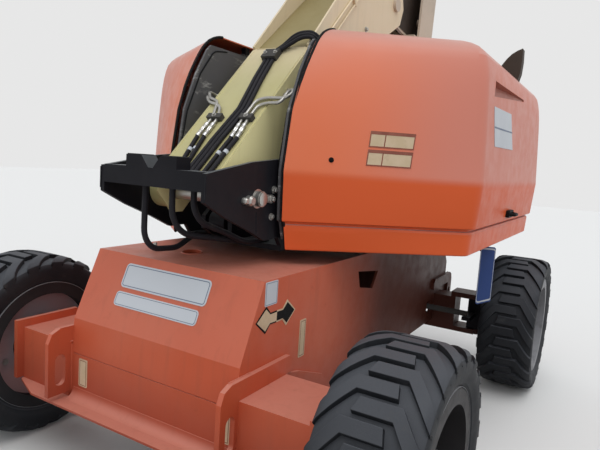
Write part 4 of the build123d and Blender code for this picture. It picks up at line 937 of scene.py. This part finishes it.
# x and z of both ends of a weld, how far it stands out, radius
BOX_WELDS = ((1.085, 0.63, 1.41, 0.63, 0.0, 0.005), (1.4, 0.4, 1.4, 0.62, 0.0005, 0.005),
             (1.32, 0.705, 1.46, 0.705, 0.0015, 0.003))
beads = [weld([M(end * x, side * (FLANK_Y + out), z) for x, z in ((x0, z0), (x1, z1))], radius)
         for end in BOTH for side in BOTH for x0, z0, x1, z1, out, radius in BOX_WELDS]
make("chassis_welds", beads, ORANGE, "chassis", smooth=60)
bolts = [bolt(M(x, side * END_PLATE_Y, z), Y * side, 0.01, 0.012)
         for side in BOTH for x in (1.13, 1.43) for z in (0.42, 0.62)]
make("end_plate_bolts", bolts, STEEL, "chassis")
fitting = [stud(M(1.085, -0.287, TOP_Z), Z, 0.018, 0.012, 20),
           stud(M(1.085, -0.287, TOP_Z + 0.01), Z, 0.01, 0.026, 6)]
make("top_fitting", fitting, STEEL, "chassis")
hole_rim = []
for a in turns(HOLE_STEPS) + [2 * pi]:
    across = Matrix.Rotation(HOLE_TURN, 2) @ Vector((HOLE_LONG * cos(a), HOLE_SHORT * sin(a)))
    hole_rim.append(M(HOLE_X + across.x, HOLE_Y + across.y, TOP_Z))
make("top_hole_rim", tube_data(hole_rim, 0.004, sides=8), ORANGE, "chassis")
bolts = [bolt(M(BEARING_R * cos(a), BEARING_R * sin(a), TOP_Z), Z, 0.008, 0.012)
         for a in turns(BEARING_BOLTS)]
bolts = [data for data in bolts if abs(data[0][0].y) < SEEN_Y]
make("bearing_bolts", bolts, STEEL, "chassis")

# Turntable frame: keeper plate, bolts and bosses at the tower pin, and welds
FRAME_Y = 0.29
KEEPER = ((1.028, 1.343), (0.968, 1.332), (0.952, 1.35), (0.968, 1.372), (1.028, 1.372))
KEEPER_WALL = 0.008
# x, z, height of the seat, radius, height
KEEPER_BOLTS = ((0.974, 1.352, KEEPER_WALL, 0.012, 0.016), (0.95, 1.392, 0.0, 0.012, 0.018),
                (0.961, 1.272, 0.0, 0.011, 0.014))
# x, z, height of the seat, radius, height, sides, chamfer
BOSSES = ((PIN_X, PIN_Z, 0.023, 0.03, 0.012, 32, 0.35), (1.142, 1.349, 0.0, 0.022, 0.03, 28, 0.3),
          (1.172, 1.349, 0.0, 0.015, 0.024, 24, 0.3))
for side, word in SIDES:
    out = Y * side
    parts = [xz_prism(KEEPER, side * FRAME_Y, side * (FRAME_Y + KEEPER_WALL))]
    parts += [bolt(M(x, side * (FRAME_Y + seat), z), out, r, h) for x, z, seat, r, h in KEEPER_BOLTS]
    parts += [stud(M(x, side * (FRAME_Y + seat), z), out, r, h, sides, chamfer)
              for x, z, seat, r, h, sides, chamfer in BOSSES]
    make(f"tower_pin_keeper_{word}", parts, STEEL, "turntable", smooth=35)
    seams = [weld([M(1.075, side * FRAME_Y, 1.3), M(1.066, side * FRAME_Y, 1.205)], 0.003),
             weld([M(1.414, side * 0.2895, 1.36), M(1.414, side * 0.2895, 1.45)], 0.004)]
    make(f"frame_welds_{word}", seams, BLACK, "turntable")

# Rest pads on the front of the frame: y and z of their outline
REST_X, REST_LENGTH = 1.336, 0.076
REST_PAD = ((0.058, 1.51), (0.135, 1.51), (0.135, 1.514), (0.06, 1.514))
pads = [prism([M(REST_X, side * y, z) for y, z in REST_PAD], NOWHERE, X * REST_LENGTH) for side in BOTH]
make("rest_pads", pads, PLASTIC, "turntable", bevel=0.0015)

# Blank blue plate with a pale border, on an arm of the chassis
BLUE_CORNERS = ((-0.33, 0.95, 1.098), (-0.36, 1.03, 1.098), (-0.36, 1.03, 0.772), (-0.33, 0.95, 0.74))
BLUE_ROUND, BORDER_OUTER, BORDER_INNER = 0.012, 0.955, 0.9
ARM_LINE = ((-0.345, 0.47, 1.02), (-0.345, 0.6, 1.075), (-0.345, 0.93, 1.082), (-0.352, 0.975, 1.06))
corners = [M(*p) for p in BLUE_CORNERS]
out = (corners[1] - corners[0]).cross(Z).normalized()
outline = rounded(corners, BLUE_ROUND)
centre = sum(corners, Vector()) / 4
rings = [[centre + (p - centre) * share for p in outline] for share in (BORDER_OUTER, BORDER_INNER)]
make("side_plate_blue", prism(outline, out * -0.002, out * 0.002), BLUE, "chassis")
make("side_plate_blue_line", ring_prism(*rings, out * 0.002, out * 0.0028), PLATE, "chassis")
# The arm is drawn in dark brown as painted shade under the hood
arm_parts = [tube_data([M(*p) for p in ARM_LINE], 0.009, 0.05),
             bolt(M(-0.345, FLANK_Y - 0.0005, 1.02), Y, 0.018, 0.012)]
make("side_plate_arm", arm_parts, PAINTED_SHADE_BROWN, "chassis")

# Tower: floor of the open channel behind the lid, s and n of its section
CHANNEL = ((0.917, 0.141), (1.36, 0.108), (1.862, 0.068), (1.862, 0.06), (1.345, 0.1), (0.917, 0.133))
CHANNEL_Y, TOWER_Y = 0.1635, 0.175
channel_floor = side_prism([T(s, 0, n) for s, n in CHANNEL], -CHANNEL_Y, CHANNEL_Y)
make("tower_channel_floor", channel_floor, CREAM_SHADE, "tower", bevel=0.001)

# Tubes along the outer face of the side plates (n, first and last s), held by clips
SIDE_TUBES = ((0.103, 0.93, 1.96), (0.062, 0.97, 1.93))
CLIP_S, CLIP_HALF_S, CLIP_N, CLIP_HALF_N = (1.12, 1.5, 1.8), 0.012, 0.082, 0.034
tubes, clips = [], []
for side in BOTH:
    y, inner_y = side * (TOWER_Y + 0.007), side * (TOWER_Y - 0.004)
    for n, s0, s1 in SIDE_TUBES:
        run = [T(s0 - 0.02, inner_y, n), T(s0, y, n), T(s1, y, n - 0.004), T(s1 + 0.02, inner_y, n - 0.004)]
        tubes.append(tube_data(run, 0.006, 0.015))
    for s in CLIP_S:
        points = [T(s + a * CLIP_HALF_S, 0, CLIP_N + b * CLIP_HALF_N) for a, b in CORNERS]
        clips.append(side_prism(points, side * (TOWER_Y - 0.001), side * (TOWER_Y + 0.0145)))
make("tower_side_tubes", tubes, CREAM, "tower")
make("tower_tube_clips", clips, CREAM, "tower", bevel=0.0015)

# Hose loops in the nose of the turntable, with wide bends
LOOP_TOP_Z, EXIT_X, EXIT_Z = 1.4476, 0.8, 1.1423
LOOP_RADIUS, LOOP_BEND = 0.013, 0.2
# x and y of the drop, its lowest z, the point in the bend, x and y where it turns to the exit
LOOPS = ((1.34, -0.1, 1.108, (1.13, -0.106, 1.094), 0.975, -0.134),
         (1.336, 0.05, 1.196, (1.085, 0.092, 1.158), 0.975, 0.134),
         (1.298, 0.132, 1.262, (1.11, 0.15, 1.196), 0.985, 0.172))
loops = []
for x, y, low_z, bend, turn_x, exit_y in LOOPS:
    run = ((x, y, LOOP_TOP_Z), (x, y, low_z), bend, (turn_x, exit_y, EXIT_Z), (EXIT_X, exit_y, EXIT_Z))
    loops.append(tube_data([M(*p) for p in run], LOOP_RADIUS, LOOP_BEND, 14, 10))
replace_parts(make("front_hose_loops_bent", loops, HOSE, "turntable"), "front_hose_loops")

# Hoses over the lid: pale bands (s, y, lean) and crimps on the fittings (y, lean)
LID_N, LID_END = 0.154, 0.918
BANDS = ((0.113, -0.043, -0.12), (0.105, -0.07, -0.12), (0.092, 0.103, 0.06), (0.104, 0.135, 0.08))
CRIMPS = ((-0.086, 0.046), (-0.046, 0.0), (0.11, -0.085), (0.142, -0.092))
# s, outer radius, half length and sides of the three crimps on a hose
CRIMP_ROWS = ((0.204, 0.0114, 0.008, 24), (0.244, 0.0122, 0.01, 6), (0.276, 0.0114, 0.007, 24))
CRIMP_START = 0.2


def leaning(lean):
    return (ALONG + Y * lean).normalized()


bands = [sleeve(0.01, 0.0112, 0.009, T(s, y, LID_N + 0.0103), leaning(lean), ACROSS)
         for s, y, lean in BANDS]
make("hose_bands", bands, PLATE, "tower")
crimps = [sleeve(0.0105, r, half, T(s, y + (s - CRIMP_START) * lean, LID_N + 0.0113), leaning(lean),
                 ACROSS, sides) for y, lean in CRIMPS for s, r, half, sides in CRIMP_ROWS]
make("hose_crimps", crimps, CHROME, "tower", smooth=25)

# Bolts of the clamps, welds round the lid and bolts on the side plates
CLAMP_BOLTS = ((0.331, -0.063, 0.181), (0.333, 0.12, 0.181), (0.835, -0.04, 0.185), (0.835, 0.022, 0.185))
SIDE_BOLTS = ((1.42, -0.1), (1.56, -0.14))
LID_WELD_Y = 0.1625
bolts = [bolt(T(s, y, n), ACROSS, 0.0075, 0.01) for s, y, n in CLAMP_BOLTS]
make("clamp_bolts", bolts, STEEL, "tower")
seams = [weld([T(-0.04, side * LID_WELD_Y, LID_N), T(0.91, side * LID_WELD_Y, LID_N)], 0.0035)
         for side in BOTH]
seams.append(weld([T(LID_END, -0.15, LID_N - 0.001), T(LID_END, 0.15, LID_N - 0.001)], 0.004))
make("tower_welds", seams, CREAM, "tower")
bolts = [bolt(T(s, side * TOWER_Y, n), Y * side, 0.011, 0.014)
         for side in BOTH for s, n in SIDE_BOLTS]
make("tower_side_bolts", bolts, STEEL, "tower")

# Upright: dark brown sheets of painted shade on its arms, x and z from its pin, with a bead across
ARM_Y, ARM_SHADE_THICKNESS = 0.12, 0.003
UPRIGHT_PIN = T(2.065, 0, -0.265)
ARM_SHADE_OUTLINE = ((0.055, -0.045), (0.055, 0.05), (-0.04, 0.083), (-0.425, 0.318), (-0.73, 0.318),
         (-0.69, -0.105), (-0.41, -0.105), (-0.06, -0.066))
COVER_BEAD = ((-0.07, 0.06), (-0.4, 0.24))
shade_sheets, beads = [], []
for side in BOTH:
    face_y = side * (ARM_Y + ARM_SHADE_THICKNESS)
    points = [UPRIGHT_PIN + Vector((x, 0, z)) for x, z in ARM_SHADE_OUTLINE]
    shade_sheets.append(side_prism(points, side * (ARM_Y - 0.0005), face_y))
    beads.append(weld([UPRIGHT_PIN + Vector((x, face_y, z)) for x, z in COVER_BEAD], 0.006))
make("upright_arm_painted_shade", shade_sheets, PAINTED_SHADE_BROWN, "upright")
make("upright_beads", beads, PAINTED_SHADE_BROWN, "upright")

# Fly boom: the tube's inner length, which lies inside the main boom, with two wear pads
FLY_ROOT_X, FLY_JOIN_X, FLY_Z = -0.3, 1.981, 3.483
FLY_HALF_Y, FLY_HALF_Z, FLY_WALL = 0.114, 0.154, 0.01
PAD_Y, PAD_LENGTH, PAD_HALF_Z = (0.1135, 0.1175), 0.06, 0.06
section = []
for wall in (0.0, FLY_WALL):
    y, z = FLY_HALF_Y - wall, FLY_HALF_Z - wall
    section.append([M(FLY_ROOT_X, a * y, FLY_Z + b * z) for a, b in CORNERS])
fly_parts = [ring_prism(*section, NOWHERE, X * (FLY_JOIN_X - FLY_ROOT_X))]
fly_parts += [block_data(FLY_ROOT_X, FLY_ROOT_X + PAD_LENGTH, side * PAD_Y[0], side * PAD_Y[1],
                         FLY_Z - PAD_HALF_Z, FLY_Z + PAD_HALF_Z) for side in BOTH]
make("fly_boom_inner_tube", fly_parts, CREAM, "fly_boom")

# Platform: tread on the deck, bars that lie crosswise in turn
DECK_Z = 2.726
TREAD_X, TREAD_Y, TREAD_STEP_X, TREAD_STEP_Y = 4.6, -1.18, 0.033, 0.0363
TREAD_COUNT_X, TREAD_COUNT_Y = 26, 66
TREAD_ARM, TREAD_WIDTH, TREAD_HEIGHT = 0.0095, 0.0022, 0.002
treads = []
for i in range(TREAD_COUNT_X):
    for j in range(TREAD_COUNT_Y):
        turn = 1 if (i + j) % 2 else -1
        a = Vector((TREAD_ARM, TREAD_ARM * turn, 0))
        b = Vector((-TREAD_WIDTH * turn, TREAD_WIDTH, 0))
        c = M(TREAD_X + i * TREAD_STEP_X, TREAD_Y + j * TREAD_STEP_Y, DECK_Z - 0.0005)
        up = Z * TREAD_HEIGHT
        verts = [c - a, c + b, c + a, c - b, c - a * 0.7 + up, c + a * 0.7 + up]
        treads.append((verts, [(0, 1, 5, 4), (1, 2, 5), (2, 3, 4, 5), (3, 0, 4)]))
make("deck_tread", treads, ALLOY, "platform")

# Control box: three sticks, a row of switches and a stop button on its lid
STICK_Y, SWITCH_Y, STOP_Y = (-0.17, 0.0, 0.17), (-0.22, -0.11, -0.06, 0.06, 0.11), 0.205
SWITCH_RUN = 0.07
box_low, box_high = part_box("platform_controls")
lid = Vector(((box_low[0] + box_high[0]) / 2, 0, box_high[2] - 0.001))
row = lid + X * SWITCH_RUN
bases, sticks = [], []
for y in STICK_Y:
    foot = lid + Y * y
    bases.append(stud(foot, Z, 0.022, 0.01, 20))
    sticks.append(stud(foot + Z * 0.008, Z, 0.012, 0.026, 20, 0.4))
for y in SWITCH_Y:
    foot = row + Y * y
    bases.append(stud(foot, Z, 0.008, 0.006, 16))
    sticks.append(tube_data([foot + Z * 0.004, foot + Vector((0.006, 0, 0.022))], 0.0035, sides=8))
make("control_bases", bases, STEEL, "platform")
make("control_sticks", sticks, INK, "platform")
make("control_stop", stud(row + Y * STOP_Y, Z, 0.017, 0.02, 24, 0.4), RED, "platform")

# Stage: pale floor that throws little light back onto the machine
FLOOR_SIZE, FLOOR_SEEN, FLOOR_LIGHTING = 60, (0.72, 0.72, 0.71), (0.25, 0.245, 0.235)
FLOOR = bpy.data.materials.new("floor")
ft = empty_tree(FLOOR)
floor_colour = mix(ft, node(ft, "LightPath", {}, "Is Diffuse Ray"), FLOOR_SEEN, FLOOR_LIGHTING)
node(ft, "OutputMaterial", {0: node(ft, "BsdfPrincipled", {"Base Color": floor_colour, "Roughness": 0.9})})
bpy.ops.mesh.primitive_plane_add(size=FLOOR_SIZE, location=(0, 0, 0))
floor = bpy.context.object
floor.name = "stage_floor"
floor.data.materials.append(FLOOR)
floor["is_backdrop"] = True

# Sky: white where it is seen, a soft gradient where it lights
SKY_LEVEL, SKY_TURN, SKY_COLOUR = 0.85, (0.15, 0.1, -0.05), (0.95, 0.97, 1.0, 1)
world = bpy.data.worlds.new("sky")
scene.world = world
wt = empty_tree(world)
dot = node(wt, "VectorMath", {0: node(wt, "TexCoord", {}, "Generated"), 1: SKY_TURN}, "Value",
           operation="DOT_PRODUCT")
level = node(wt, "Math", {0: dot, 1: SKY_LEVEL, 2: SKY_LEVEL}, operation="MULTIPLY_ADD")
soft = node(wt, "Background", {"Color": SKY_COLOUR, "Strength": level})
plain = node(wt, "Background", {"Strength": 1.0})
seen = node(wt, "LightPath", {}, "Is Camera Ray")
for kind in ("Is Glossy Ray", "Is Transmission Ray"):
    seen = node(wt, "Math", {0: seen, 1: node(wt, "LightPath", {}, kind)}, operation="MAXIMUM")
node(wt, "OutputWorld", {0: node(wt, "MixShader", {0: seen, 1: soft, 2: plain})})

# Key light from above
KEY_TOWARD, KEY_STRENGTH, KEY_ANGLE = (-0.3, -0.15, -1.0), 1.2, 45
key_data = bpy.data.lights.new("key", "SUN")
key_data.energy = KEY_STRENGTH
key_data.angle = radians(KEY_ANGLE)
key = place("key", key_data)
key.rotation_mode = "QUATERNION"
key.rotation_quaternion = Vector(KEY_TOWARD).to_track_quat("-Z", "Y")
key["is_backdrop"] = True

# Camera: place, turns in degrees, and focal length in pixels of a frame 600 wide
CAMERA_AT = (2.994, 1.624, 1.529)
YAW, PITCH, ROLL = radians(30.12), radians(6.71), radians(3.88)
SENSOR, FOCAL_PIXELS, FRAME_PIXELS = 36.0, 544.5, 600
heading = Vector((-cos(YAW), -sin(YAW), 0))
right = Vector((-sin(YAW), cos(YAW), 0))
forward = heading * cos(PITCH) - Z * sin(PITCH)
down = forward.cross(right)
frame_right = right * cos(ROLL) - down * sin(ROLL)
frame_down = right * sin(ROLL) + down * cos(ROLL)
cam_data = bpy.data.cameras.new("camera")
cam_data.sensor_width = SENSOR
cam_data.lens = SENSOR * FOCAL_PIXELS / FRAME_PIXELS
cam_data.clip_start = 0.05
cam = place("camera", cam_data)
turn = Matrix((frame_right, -frame_down, -forward)).transposed().to_4x4()
cam.matrix_world = Matrix.Translation(M(*CAMERA_AT)) @ turn
scene.camera = cam

scene.view_settings.view_transform = "Standard"

low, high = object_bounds()
